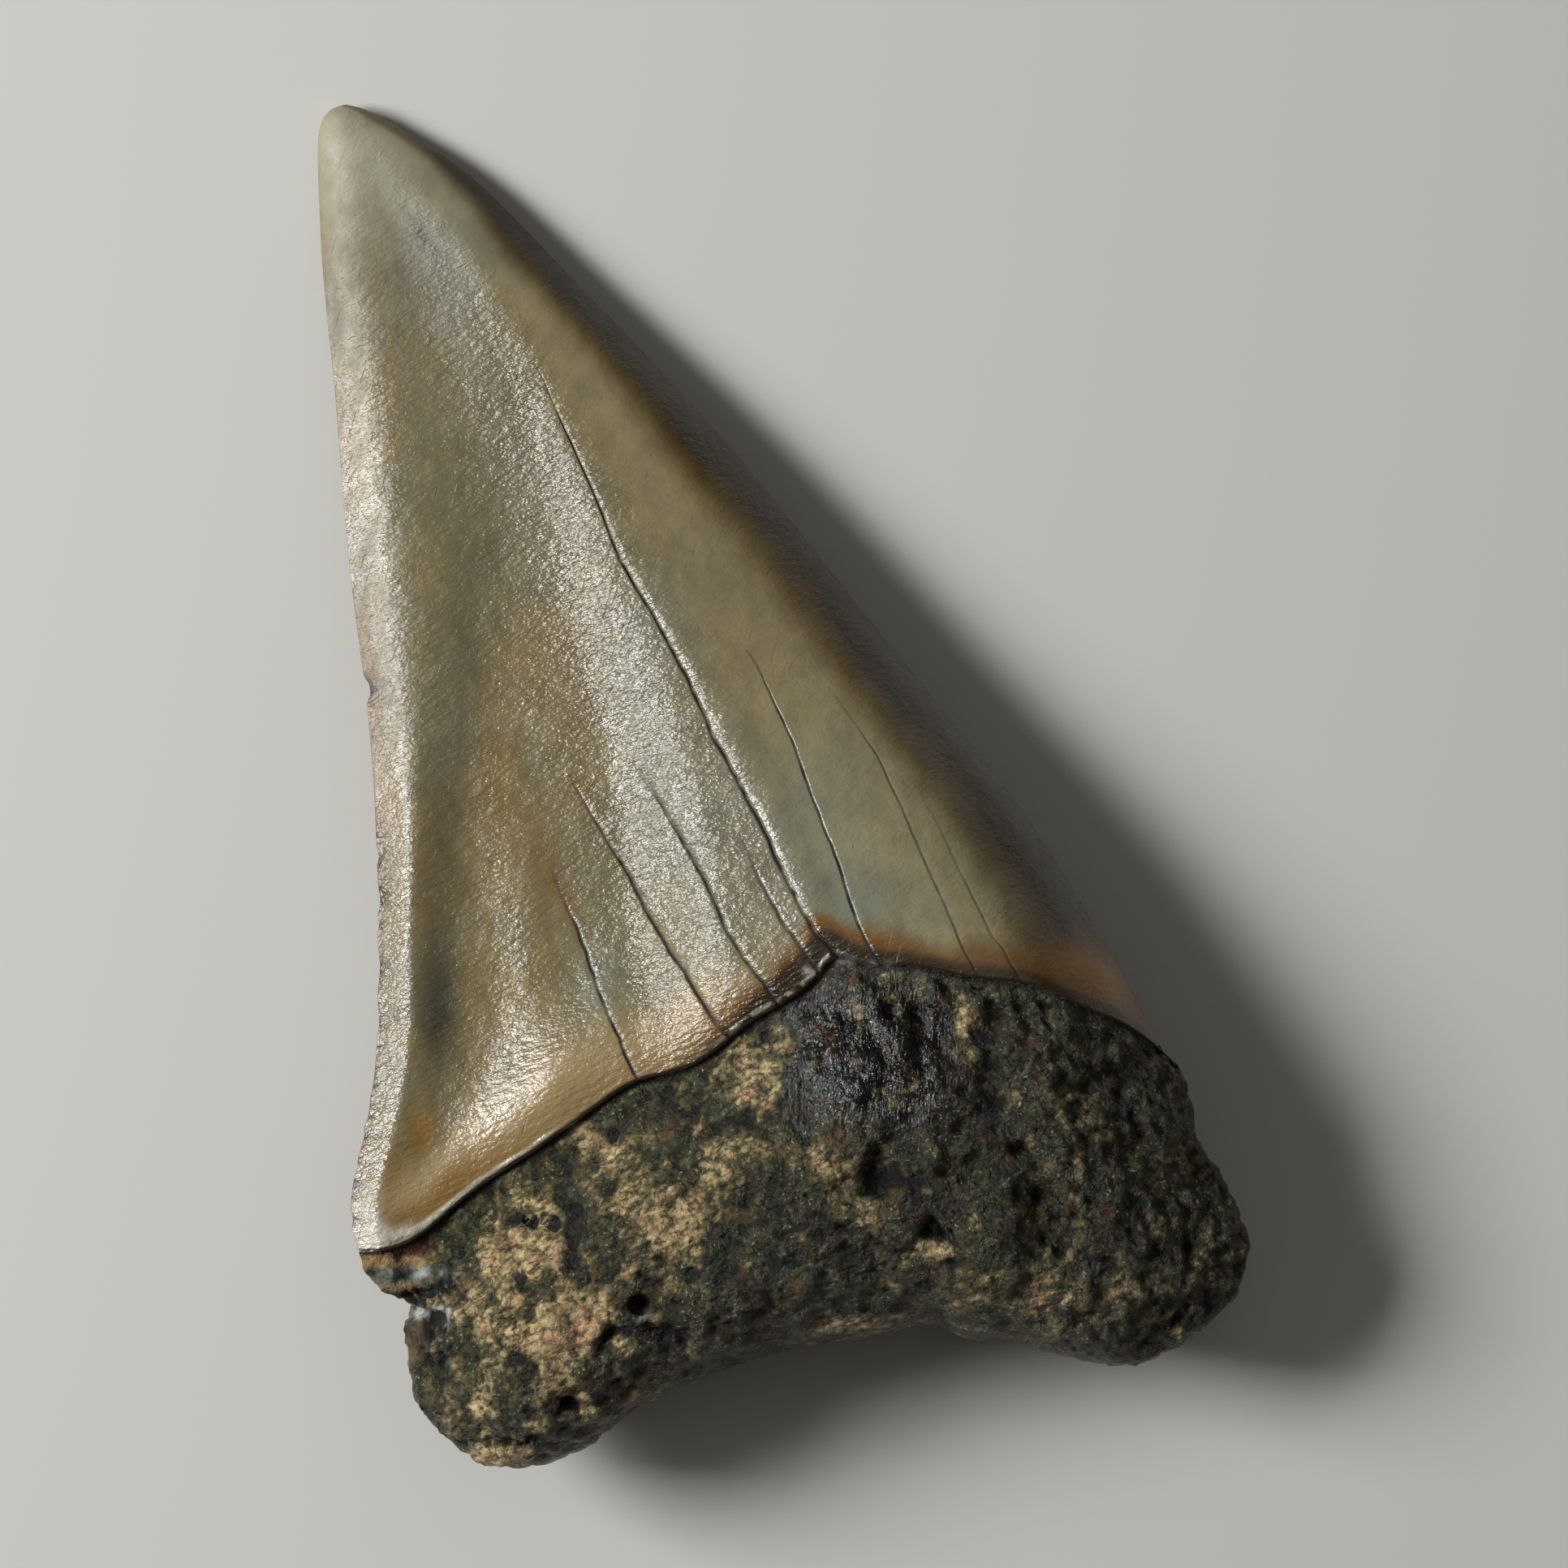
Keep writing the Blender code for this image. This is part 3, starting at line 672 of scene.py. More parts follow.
@dataclass
class ToothBody:
    """The tooth as one closed mesh of fine rings."""

    outline: Outline = field(default_factory=Outline)
    crown: CrownShape = field(default_factory=CrownShape)
    root: RootShape = field(default_factory=RootShape)
    cracks: Sequence[Crack] = (
        Crack((
            (-8.37, -3.57), (-7.62, -5.22), (-6.87, -7.32), (-5.97, -9.42), (-5.52, -10.47),
        ), 0.08, 0.0, 0.9),
        Crack((
            (-7.74, 0.00), (-7.35, -0.57), (-6.51, -2.01), (-5.73, -3.24), (-5.07, -4.59),
            (-4.20, -6.03), (-3.54, -6.99), (-2.85, -8.13), (-2.01, -9.18),
        ), 0.12, 0.01, 0.6, 0.5),
        Crack((
            (-5.34, 0.48), (-4.38, -0.87), (-3.33, -2.67), (-2.58, -4.11), (-2.19, -5.04),
            (-1.59, -6.09), (-0.54, -7.44),
        ), 0.12, 0.01, 0.0, 0.5),
        Crack(((-1.35, -2.25), (-0.84, -3.42), (-0.18, -4.65), (0.42, -5.61), (0.99, -6.36)), 0.07),
        Crack((
            (-9.06, 15.42), (-8.22, 13.50), (-7.38, 11.67), (-6.90, 10.62), (-6.42, 9.39),
            (-6.03, 8.34), (-5.46, 7.38), (-4.80, 6.33), (-3.45, 3.84), (-2.52, 1.74),
            (-1.23, -0.63), (-0.54, -1.89), (-0.27, -2.64), (0.30, -3.69), (1.35, -5.61),
            (1.95, -6.18),
        ), 0.18, 0.03, 0.0, 0.22),
        Crack((
            (-0.99, 4.53), (-0.18, 2.82), (0.42, 1.56), (0.78, 0.51), (1.08, -0.36),
            (1.56, -1.59), (1.95, -2.46), (2.52, -4.35), (3.27, -6.09), (3.60, -6.50),
        ), 0.08, 0.0, 0.0, 0.15),
        Crack((
            (2.22, 2.91), (3.48, 1.17), (4.32, -0.63), (5.19, -2.64), (6.24, -4.95), (7.02, -6.66),
        ), 0.05, 0.0, 0.0, 0.05),
        Crack(((5.67, -1.29), (6.72, -3.51), (7.77, -5.61), (8.16, -6.09)), 0.035, 0.0, 0.0, 0.1),
    )
    gap_columns: Sequence[int] = (76, 27, 11, 12, 12, 9, 26, 9, 46)
    crack_columns: Sequence[float] = (-2.0, -1.0, 0.0, 1.0, 2.0)
    crack_spacing: float = 0.0019
    crack_wander: float = 0.0016
    crown_rows: int = 140
    root_rows: int = 106
    enamel_step: float = 0.07
    lip_left: float = 0.34
    lip_right: float = 0.16
    side_crowding: float = 0.12
    dressed: Sequence[str] = (
        "across", "down", "above", "crack", "stain", "relief", "ochre", "rust", "shine", "nick",
        "band", "painted_glint", "flank", "scorch", "flake", "grime", "painted_glow", "serration", "chip",
        "from_right", "edge_worn", "amber", "blue", "smudge_and_shade", "specks",
    )

    def __post_init__(self) -> None:
        """Run the plans and the crack paths."""
        self.plans = {face: CrownPlan(self.outline, face) for face in Face}
        self.root_plans = {
            face: RootPlan(self.outline, self.plans[face], self.enamel_step) for face in Face
        }
        self.paths = []
        for crack in self.cracks:
            found = np.array([self.plans[Face.OUTER].find(x, y) for x, y in crack.points])
            self.paths.append((found[:, 1], found[:, 0]))
        self.tree = self.outline_tree()

    def outline_tree(self) -> kdtree.KDTree:
        """Search tree of the whole outline in plan.

        Returns:
            The tree, in millimetres.
        """
        parts = (
            self.outline.left_edge, self.outline.right_edge, self.outline.left_root,
            self.outline.right_root, self.outline.basal_edge,
        )
        points = np.concatenate([even_curve(part) for part in parts])
        tree = kdtree.KDTree(len(points))
        for i, (x, y) in enumerate(points):
            tree.insert((x, y, 0.0), i)
        tree.balance()
        return tree

    def inset(self, x: np.ndarray, y: np.ndarray) -> np.ndarray:
        """Distance of plan points from the outline."""
        return np.array([self.tree.find((a, b, 0.0))[2] for a, b in zip(x, y)])

    def column_shares(self, down: float) -> np.ndarray:
        """Share across of every column of an outer row, with five columns along each crack.

        Args:
            down: Share of the crown's length.

        Returns:
            Rising shares from 0 to 1.
        """
        marks = [0.0]
        for k, path in enumerate(self.paths):
            wander = self.crack_wander * noise.fractal(Vector((k, 70.0 * down, 0.3)), 0.8, 2.1, 3)
            marks.append(float(np.interp(down, *path)) + wander)
        marks.append(1.0)
        reach = self.crack_columns[-1] * self.crack_spacing
        shares = [0.0]
        last = len(self.gap_columns) - 1
        for k, count in enumerate(self.gap_columns):
            start = marks[k] + (reach if k else 0.0)
            end = marks[k + 1] - (reach if k < last else 0.0)
            step = np.arange(1, count + 1) / count
            if k == 0:
                step = step ** 1.35
            if k == last:
                step = 1.0 - (1.0 - step) ** 1.45
            shares.extend(start + (end - start) * step)
            if k < last:
                shares.extend(marks[k + 1] + self.crack_spacing * c for c in self.crack_columns[1:])
        return np.array(shares)

    def crack_middles(self) -> list[int]:
        """Index of the middle column of each crack.

        Returns:
            One column index for each crack, from the left.
        """
        middles = []
        index = 0
        for count in self.gap_columns[:-1]:
            index += count + 2
            middles.append(index)
            index += 2
        return middles

    def crack_profile(self, shares: np.ndarray, down: float) -> tuple[np.ndarray, np.ndarray, np.ndarray]:
        """Depth, darkness and stain that the cracks give an outer row.

        Args:
            shares: Shares of the width.
            down: Share of the crown's length.

        Returns:
            Depth in millimetres, darkness from 0 to 1 and stain from 0 to 1.
        """
        depth, dark, stain = np.zeros_like(shares), np.zeros_like(shares), np.zeros_like(shares)
        for index, crack, path in zip(self.crack_middles(), self.cracks, self.paths):
            top = path[0][0]
            open_here = float(smooth_step((down - top) / 0.10 + 0.15))
            if down < top - 0.01:
                continue
            jitter = 0.80 + 0.55 * noise.fractal(Vector((index * 3.1, down * 90.0, 0.5)), 0.8, 2.1, 3)
            strength = max(open_here * jitter, 0.0)
            black = min(crack.depth / 0.08, 1.0) * (0.55 + 0.45 * open_here) * min(1.15 * jitter, 1.0)
            for offset, share, shade in ((-1, 0.5, 0.90), (0, 0.0, 1.0), (1, 1.0, 0.45)):
                share = 1.0 if offset == 0 else share * crack.spread
                depth[index + offset] += crack.depth * strength * share
                dark[index + offset] = max(dark[index + offset], black * shade)
            away = (shares - shares[index]) * self.plans[Face.OUTER].width(down)
            depth += crack.step * strength * np.where(away < 0.0, np.exp(away / 0.45), 0.0)
            worn = 1.0 - smooth_step((down - top) / 0.14)
            stain += crack.stain * worn * np.exp(-(away / 0.24) ** 2)
        return depth, np.clip(dark, 0.0, 1.0), np.clip(stain, 0.0, 1.0)

    def crown_share(self, row: int) -> float:
        """Share of the crown's length of a row, with the last rows close to the margin.

        Args:
            row: Number of the row below the tip.

        Returns:
            Share from 0 to 1.
        """
        rim = (0.9925, 0.9940, 0.9955, 0.9968, 0.9980, 0.9991, 1.0)
        from_end = self.crown_rows - row
        if from_end < len(rim):
            return rim[len(rim) - 1 - from_end]
        return 0.9905 * (row / (self.crown_rows - len(rim))) ** 1.2

    def crown_rings(self) -> list[tuple[Ring, Ring]]:
        """Rows of the crown from just below the tip to the enamel margin.

        Returns:
            The outer and the inner ring of each row.
        """
        rings = []
        outer_plan, inner_plan = self.plans[Face.OUTER], self.plans[Face.INNER]
        for row in range(1, self.crown_rows + 1):
            down = self.crown_share(row)
            shares = self.column_shares(down)
            x, y = outer_plan.place(shares, down)
            above = y - outer_plan.place(shares, 1.0)[1]
            edge = self.crown.edge(down)
            depth, dark, stain = self.crack_profile(shares, down)
            rise = self.crown.outer(shares, down, outer_plan.width(down), above)
            outer = Ring(np.stack([x, y, edge + rise - depth], axis=-1), shares, down, above, dark, stain)
            back = shares[::2][1:-1]
            bx, by = inner_plan.place(back, down)
            bz = np.maximum(edge - self.crown.inner(back, down), 0.0)
            above = by - inner_plan.place(back, 1.0)[1]
            none = np.zeros_like(back)
            rings.append((outer, Ring(np.stack([bx, by, bz], axis=-1), back, down, above, none, none)))
            self.rim = {Face.OUTER: edge + rise, Face.INNER: np.concatenate(([edge], bz, [edge]))}
            self.rim_shares = shares
        return rings

    def root_rings(self) -> list[tuple[Ring, Ring | None]]:
        """Rows of the root from the enamel margin to the basal edge, which both faces share.

        Returns:
            The outer and the inner ring of each row; the last has no inner one.
        """
        shares = self.rim_shares
        even = np.linspace(0.0, 1.0, len(shares))
        even = even - self.side_crowding * np.sin(2.0 * np.pi * even)
        lip = self.lip_left + (self.lip_right - self.lip_left) * smooth_step((shares - 0.45) / 0.3)
        lip = lip * smooth_step(shares / 0.06) * smooth_step((1.0 - shares) / 0.06)
        top_edge = self.crown.edge(1.0)
        rings: list[tuple[Ring, Ring | None]] = []
        for row in range(self.root_rows + 1):
            down = 1.0 - (1.0 - row / self.root_rows) ** 1.35
            across = shares + (even - shares) * smooth_step(down / 0.6)
            edge = top_edge + (self.root.basal_height - top_edge) * down
            fade = 1.0 - smooth_step(down / 0.42)
            x, y = self.root_plans[Face.OUTER].place(across, down)
            z = self.root.outer(x, y, self.inset(x, y), edge)
            if row == 0:
                outer_shift = self.rim[Face.OUTER] - lip - z
            z = z + outer_shift * fade
            z[0] = z[-1] = edge
            if row == self.root_rows:
                z[:] = edge
            none = np.zeros_like(x)
            outer = Ring(np.stack([x, y, z], axis=-1), across, 1.0 + down, none - 14.0 * down, none, none)
            back = across[::2]
            bx, by = self.root_plans[Face.INNER].place(back, down)
            bz = self.root.inner(bx, by, self.inset(bx, by), edge)
            if row == 0:
                inner_shift = self.rim[Face.INNER] + 0.12 - bz
            bz = np.clip(bz + inner_shift * fade, 0.0, edge)
            places = np.stack([bx, by, bz], axis=-1)[1:-1]
            none = np.zeros(len(places))
            inner = Ring(places, back[1:-1], 1.0 + down, none - 14.0 * down, none, none)
            rings.append((outer, None if row == self.root_rows else inner))
        return rings

    def build(self) -> bpy.types.Object:
        """Build the closed mesh, add its relief and write its attributes.

        Returns:
            The tooth's object, in metres.
        """
        rings = self.crown_rings() + self.root_rings()
        tip = np.array([[*self.outline.tip, self.crown.edge(0.0)]])
        blocks = [tip]
        fields = {name: [np.zeros(1)] for name in ("across", "down", "above", "crack", "stain", "face")}
        fields["above"] = [np.full(1, 30.0)]
        outer_index, inner_index = [], []
        count = 1
        for outer, inner in rings:
            size = len(outer.places)
            outer_row = list(range(count, count + size))
            outer_index.append(outer_row)
            count += size
            self.record(blocks, fields, outer, 1.0)
            if inner is None:
                inner_index.append(outer_row[::2])
                continue
            inner_index.append([outer_row[0], *range(count, count + len(inner.places)), outer_row[-1]])
            count += len(inner.places)
            self.record(blocks, fields, inner, -1.0)
        faces, regions = self.faces(outer_index, inner_index)
        mesh = bpy.data.meshes.new("fossil_tooth")
        mesh.from_pydata((np.concatenate(blocks) * MM).tolist(), [], faces)
        mesh.polygons.foreach_set("material_index", regions)
        mesh.update()
        log.info("tooth mesh: %d vertices, %d faces", len(mesh.vertices), len(faces))
        values = {name: np.concatenate(parts) for name, parts in fields.items()}
        Relief(self).apply(mesh, values)
        self.fit(mesh)
        for name in self.dressed:
            layer = mesh.attributes.new(name, "FLOAT", "POINT")
            layer.data.foreach_set("value", values[name].astype(np.float32))
        mesh.shade_smooth()
        tooth = bpy.data.objects.new("fossil_tooth", mesh)
        bpy.context.scene.collection.objects.link(tooth)
        return tooth

    def record(self, blocks: list, fields: dict, ring: Ring, face: float) -> None:
        """Append a ring's places and values to the lists of the whole mesh.

        Args:
            blocks: Places of all rings so far.
            fields: Values of all rings so far, by name.
            ring: Ring to append.
            face: 1 on the outer face, -1 on the inner one.
        """
        blocks.append(ring.places)
        size = len(ring.places)
        fields["across"].append(ring.across)
        fields["down"].append(np.full(size, ring.down))
        fields["above"].append(ring.above)
        fields["crack"].append(ring.crack)
        fields["stain"].append(ring.stain)
        fields["face"].append(np.full(size, face))

    def faces(self, outer: list[list[int]], inner: list[list[int]]) -> tuple[list[tuple], list[int]]:
        """Faces of the closed mesh, and the region that each belongs to.

        Args:
            outer: Vertex indices of each outer row.
            inner: Vertex indices of each inner row, with half as many columns.

        Returns:
            The faces, and one material index for each.
        """
        faces: list[tuple] = [(0, a, b) for a, b in zip(outer[0], outer[0][1:])]
        faces += [(0, b, a) for a, b in zip(inner[0], inner[0][1:])]
        regions = [Region.CROWN.value] * len(faces)
        for row, (upper, lower) in enumerate(zip(outer, outer[1:])):
            part = [
                (upper[j], lower[j], lower[j + 1], upper[j + 1]) for j in range(len(upper) - 1)
            ]
            faces += part
            regions += [self.region(row)] * len(part)
        for row, (upper, lower) in enumerate(zip(inner[:-1], inner[1:-1])):
            part = [
                (upper[j], upper[j + 1], lower[j + 1], lower[j]) for j in range(len(upper) - 1)
            ]
            faces += part
            regions += [self.region(row)] * len(part)
        upper, basal = inner[-2], outer[-1]
        part = [
            (upper[j], upper[j + 1], basal[2 * j + 2], basal[2 * j + 1], basal[2 * j])
            for j in range(len(upper) - 1)
        ]
        faces += part
        regions += [Region.ROOT.value] * len(part)
        return faces, regions

    def region(self, row: int) -> int:
        """Material index of the faces below a row."""
        return Region.CROWN.value if row < self.crown_rows else Region.ROOT.value

    def fit(self, mesh: bpy.types.Mesh) -> None:
        """Centre the mesh in the frame's node and trim it to that box, standing at its lowest height.

        Args:
            mesh: The tooth's mesh, in metres.
        """
        low, high = (np.array(corner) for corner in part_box(NODE))
        places = np.empty(len(mesh.vertices) * 3)
        mesh.vertices.foreach_get("co", places)
        places = places.reshape(-1, 3)
        own_low, own_high = places.min(axis=0), places.max(axis=0)
        scale = np.minimum(1.0, (high - low) / (own_high - own_low))
        places = (places - (own_low + own_high) / 2) * scale + (low + high) / 2
        places[:, 2] += low[2] - places[:, 2].min()
        mesh.vertices.foreach_set("co", places.ravel())
        mesh.update()


class Relief:
    """Fine relief of the tooth, added along the surface's normals, with the masks of its stains, of its
    painted glints and of its painted shade and glowing edge.

    Places and sizes are in millimetres. A pit is centre x, centre y, radius and depth, and an island
    the same with its rise. A crevice is both ends, half width and depth. A plate is centre, half
    width, half length and rise, and a patch of a stain is the same with its strength.
    """

    nick_places = ((3.48, 0.28, 0.26),)
    nick_reach = (-16.8, -2.8)
    nick_gap = 0.50
    nick_seed = 5
    pore_count = 220
    pore_seed = 11
    pits = (
        (-5.16, -19.17, 0.30, 0.60), (-7.74, -22.89, 0.26, 0.50), (-3.30, -18.12, 0.34, 0.35),
        (3.85, -14.55, 0.80, 0.30), (-6.30, -12.95, 0.30, 0.25), (9.70, -15.10, 0.50, 0.22),
        (-13.60, -19.35, 0.45, 0.35), (-12.80, -20.05, 0.55, 0.12),
    )
    islands = (
        (3.54, -14.16, 0.34, 0.30), (-7.80, -19.05, 0.34, 0.22), (3.10, -15.85, 0.45, 0.18),
        (1.78, -14.20, 0.60, 0.15), (5.90, -17.00, 0.35, 0.15),
    )
    crevices = (
        (-9.99, -16.05, -8.07, -16.30, 0.20, 0.50), (-7.68, -15.80, -7.70, -17.70, 0.26, 0.60),
        (5.13, -7.92, 5.13, -10.98, 0.13, 0.26), (7.77, -8.40, 7.90, -10.10, 0.26, 0.22),
        (7.90, -10.10, 8.10, -12.20, 0.18, 0.16), (-2.73, -12.87, -2.73, -14.25, 0.10, 0.16),
        (5.58, -16.26, 6.42, -16.92, 0.22, 0.40), (-5.70, -20.10, -3.60, -20.40, 0.30, 0.32),
        (-11.80, -24.30, -9.20, -24.42, 0.13, 0.30), (-13.70, -18.95, -12.20, -18.40, 0.20, 0.50),
        (-6.90, -21.20, -6.20, -20.30, 0.20, 0.30), (0.60, -16.90, 2.60, -16.30, 0.22, 0.25),
        (8.60, -13.40, 9.80, -14.20, 0.22, 0.25),
    )
    plates = (
        (-7.70, -19.90, 1.25, 0.80, 0.16), (-10.30, -24.90, 1.05, 0.28, 0.16),
        (-9.30, -17.20, 1.30, 0.80, 0.10), (-3.90, -16.00, 1.30, 1.20, 0.10),
    )
    plate_bare = (0.75, 1.0, 0.35, 0.30)
    boss_place = (3.2, -9.9)
    boss_half = (3.4, 3.0)
    ochre_patches = (
        (-9.6, -15.8, 1.3, 0.9, 0.35), (-9.2, -17.3, 1.7, 1.2, 1.00), (-7.8, -20.0, 1.6, 1.1, 1.15),
        (-8.2, -21.6, 0.9, 1.5, 0.80), (-10.6, -22.5, 2.0, 1.6, 0.48), (-4.6, -16.2, 1.9, 1.5, 1.00),
        (-6.4, -13.4, 1.3, 0.6, 0.80), (1.8, -14.2, 0.8, 0.9, 1.00), (3.1, -15.8, 0.6, 0.5, 0.90),
        (6.6, -8.6, 0.35, 1.6, 0.55), (-1.2, -10.6, 1.6, 1.8, 0.50), (5.8, -17.0, 0.7, 0.4, 0.90),
        (-2.2, -13.8, 1.6, 1.4, 0.40), (-10.3, -19.2, 1.0, 1.0, 0.25), (10.4, -12.6, 1.2, 1.0, 0.45),
        (8.6, -18.6, 2.6, 1.0, 0.45), (13.4, -19.2, 2.2, 1.2, 0.45), (3.0, -20.0, 2.6, 0.5, 0.70),
        (-10.3, -24.9, 1.0, 0.40, 1.60), (-11.6, -19.2, 1.0, 1.6, 0.30), (-14.6, -17.8, 1.2, 0.35, 1.0),
        (-5.0, -22.6, 1.4, 1.2, 0.30), (14.6, -13.6, 1.2, 1.0, 0.25),
    )
    rust_spots = (
        (-8.4, -21.6, 0.35, 1.0, 1.0), (-6.7, -13.2, 0.6, 0.35, 0.9), (5.6, -18.1, 1.0, 0.35, 0.8),
        (-2.6, -14.9, 0.6, 0.4, 0.5), (-8.0, -19.4, 0.5, 0.4, 0.6), (9.4, -16.8, 0.5, 0.3, 0.6),
    )
    # Painted glints: bright spots drawn where chipped bone and enamel catch the light; rows of centre x,
    # centre y, half width, half length and strength.
    painted_glint_spots = (
        (-13.35, -19.60, 0.28, 0.22, 1.6), (-13.50, -18.10, 0.90, 0.22, 1.0),
        (1.08, -6.95, 0.30, 0.14, 0.9), (2.28, -6.50, 0.35, 0.14, 0.9), (3.63, -6.62, 0.45, 0.12, 0.6),
        (-8.00, -12.60, 0.35, 0.16, 0.8), (-5.10, -19.60, 0.2, 0.2, 0.4),
    )
    stains = {
        "amber": (
            (-10.6, 0.6, 0.9, 1.3, 0.45), (-13.3, -13.0, 0.6, 1.0, 1.00), (-14.3, -15.0, 0.5, 1.2, 0.80),
            (12.2, -6.9, 1.6, 1.7, 1.00), (10.0, -5.9, 1.6, 1.0, 0.50), (-8.7, -3.0, 0.5, 1.6, 0.30),
            (-7.9, 4.5, 1.3, 5.0, 0.30), (-9.0, -6.0, 0.6, 2.0, 0.20), (-9.6, -1.8, 1.0, 2.0, 0.25),
            (-10.4, 14.0, 1.6, 2.6, 0.15), (-3.4, 14.0, 1.0, 2.0, 0.25),
        ),
        "blue": (
            (-6.8, -7.4, 0.9, 1.5, 0.65), (3.4, -4.6, 1.6, 1.6, 0.45), (1.0, -1.0, 2.0, 2.6, 0.45),
            (-12.0, 20.6, 2.2, 2.2, 0.40), (-15.4, 23.6, 1.6, 2.0, 0.50), (-4.0, -2.6, 1.4, 3.0, 0.30),
            (-5.4, 3.4, 1.0, 3.0, 0.30), (2.2, -4.2, 1.6, 1.4, 0.5),
        ),
        # Dark smudges near the tip, and painted shade down the hollow flute.
        "smudge_and_shade": (
            (-9.7, 20.0, 1.0, 0.9, 0.65), (-13.6, 18.5, 1.2, 2.6, 0.25), (-12.7, -8.6, 0.9, 3.0, 0.95),
            (-10.9, 12.4, 1.4, 4.0, 0.20), (-11.6, 5.0, 1.6, 5.0, 0.35), (-12.6, -2.4, 1.0, 4.0, 0.60),
        ),
        "grime": ((-15.5, 4.2, 1.0, 4.6, 1.0), (-15.2, -3.0, 0.9, 3.0, 0.6)),
        # Painted glow: amber light shining through the translucent right corner of the enamel.
        "painted_glow": (
            (10.9, -6.6, 1.1, 0.8, 0.9), (12.3, -7.9, 0.8, 1.0, 1.0), (11.6, -7.3, 0.8, 0.8, 0.5),
        ),
    }
    outer_stains = ("smudge_and_shade", "grime", "painted_glow")
    scorch_places = (-9.0, -4.5, -1.6, 0.2, 1.8, 4.0)
    scorch_strengths = (0.15, 0.30, 1.0, 1.8, 1.8, 1.0)
    chip_place = (-12.80, -20.05)
    chip_turn = (0.88, 0.48)
    chip_half = (0.40, 0.80)
    specks_place = (-13.95, 21.2)
    specks_turn = (0.58, 0.81)
    edge_reach = 0.30
    worn_y = (7.0, 3.0)
    serrated_y = (-0.6, -2.1)
    serrated_end_y = (-16.4, -15.4)
    bevel_y = (-16.5, -12.5)
    bevel_width = (0.95, 1.45)
    flank_reach = 0.14
    full_width = 14.0

    def __init__(self, body: ToothBody) -> None:
        """Keep the body whose surface gets the relief."""
        self.body = body

    def apply(self, mesh: bpy.types.Mesh, values: dict[str, np.ndarray]) -> None:
        """Move the mesh's vertices and add the values that the finishes read.

        Args:
            mesh: The tooth's mesh, in metres.
            values: Values of each vertex, to which this adds.
        """
        count = len(mesh.vertices)
        flat = np.empty(count * 3)
        mesh.vertices.foreach_get("co", flat)
        places = flat.reshape(-1, 3) / MM
        normals = np.empty(count * 3, dtype=np.float32)
        mesh.vertex_normals.foreach_get("vector", normals)
        normals = normals.reshape(-1, 3)
        is_root = values["down"] > 1.0
        for name in ("relief", "ochre", "rust", "shine"):
            values[name] = np.zeros(count)
        steady = 0.55 + 0.45 * np.abs(normals[:, 2])
        values["relief"][~is_root] = self.enamel(places[~is_root])
        self.bone(places, is_root, values)
        resting = smooth_step((places[:, 2] - 0.05) / 0.4)
        places = places + normals * (values["relief"] * steady * resting)[:, None]
        places[:, 2] = np.maximum(places[:, 2], 0.0)
        places = self.nicks(places, values)
        self.zones(places, values)
        mesh.vertices.foreach_set("co", (places * MM).ravel())
        mesh.update()

    def enamel(self, places: np.ndarray) -> np.ndarray:
        """Gentle waves and growth ripples of the enamel, in millimetres.

        Args:
            places: Points in millimetres.

        Returns:
            Height of each point.
        """
        waves = 0.022 * fractal(places, (3.0, 5.0, 4.0), 2)
        dents = 0.020 * fractal(places, (1.3, 1.9, 1.5), 2, 23.0) * smooth_step((6.0 - places[:, 1]) / 8.0)
        ripples = 0.006 * fractal(places, (0.9, 0.35, 0.6), 2, 4.0)
        return waves + dents + ripples

    def bone(self, places: np.ndarray, is_root: np.ndarray, values: dict[str, np.ndarray]) -> None:
        """Rough spongy relief of the root, with the masks of its stains.

        Args:
            places: Points of the whole tooth in millimetres.
            is_root: Which of them belong to the root.
            values: Values of each vertex, to which this writes.
        """
        here = places[is_root]
        x, y = here[:, 0], here[:, 1]
        outer = values["face"][is_root] > 0.0
        start = smooth_step((values["down"][is_root] - 1.0) / 0.05)
        coarse = 0.20 * fractal(here, 1.5, 3, 7.0)
        grain = 0.17 * fractal(here, 0.50, 4, 2.0)
        lattice = 0.15 * (cells(here, 0.80, 5.0) - 0.45)
        across = (x - self.boss_place[0]) / self.boss_half[0]
        along = (y - self.boss_place[1]) / self.boss_half[1]
        boss = np.exp(-across ** 4 - along ** 4) * outer
        streaks = 0.12 * fractal(here, (0.30, 1.8, 0.8), 3, 9.0)
        height = coarse + (grain + lattice) * (1.0 - 0.65 * boss) + streaks * (0.25 + 0.75 * boss)
        marks = self.raised(x, y) - self.sunken(x, y)
        height = height + marks * outer - self.pores(here)
        ochre = self.ochre(here)
        values["relief"][is_root] = (height + 0.04 * ochre) * start
        values["ochre"][is_root] = ochre
        values["rust"][is_root] = self.rust(here)
        values["shine"][is_root] = boss

    def raised(self, x: np.ndarray, y: np.ndarray) -> np.ndarray:
        """Height of the plates and islands that stand on the outer side of the root.

        Args:
            x: Plan coordinate.
            y: Plan coordinate.

        Returns:
            Height in millimetres.
        """
        height = np.zeros_like(x)
        for cx, cy, radius, rise in self.islands:
            height += rise * np.exp(-((x - cx) ** 2 + (y - cy) ** 2) / radius ** 2)
        for cx, cy, half_width, half_length, rise in self.plates:
            reach = ((x - cx) / half_width) ** 2 + ((y - cy) / half_length) ** 2
            height += rise * smooth_step((1.35 - reach) / 0.6)
        return height

    def flakes(self, x: np.ndarray, y: np.ndarray) -> np.ndarray:
        """Where the plates are bare pale bone, from 0 to 1.

        Args:
            x: Plan coordinate.
            y: Plan coordinate.

        Returns:
            Strength from 0 to 1.
        """
        bare = np.zeros_like(x)
        for (cx, cy, half_width, half_length, _), share in zip(self.plates, self.plate_bare):
            turned = (y - cy) - 0.12 * (x - cx)
            reach = ((x - cx) / half_width) ** 2 + (turned / half_length) ** 2
            bare = np.maximum(bare, share * smooth_step((1.2 - reach) / 0.5))
        return bare

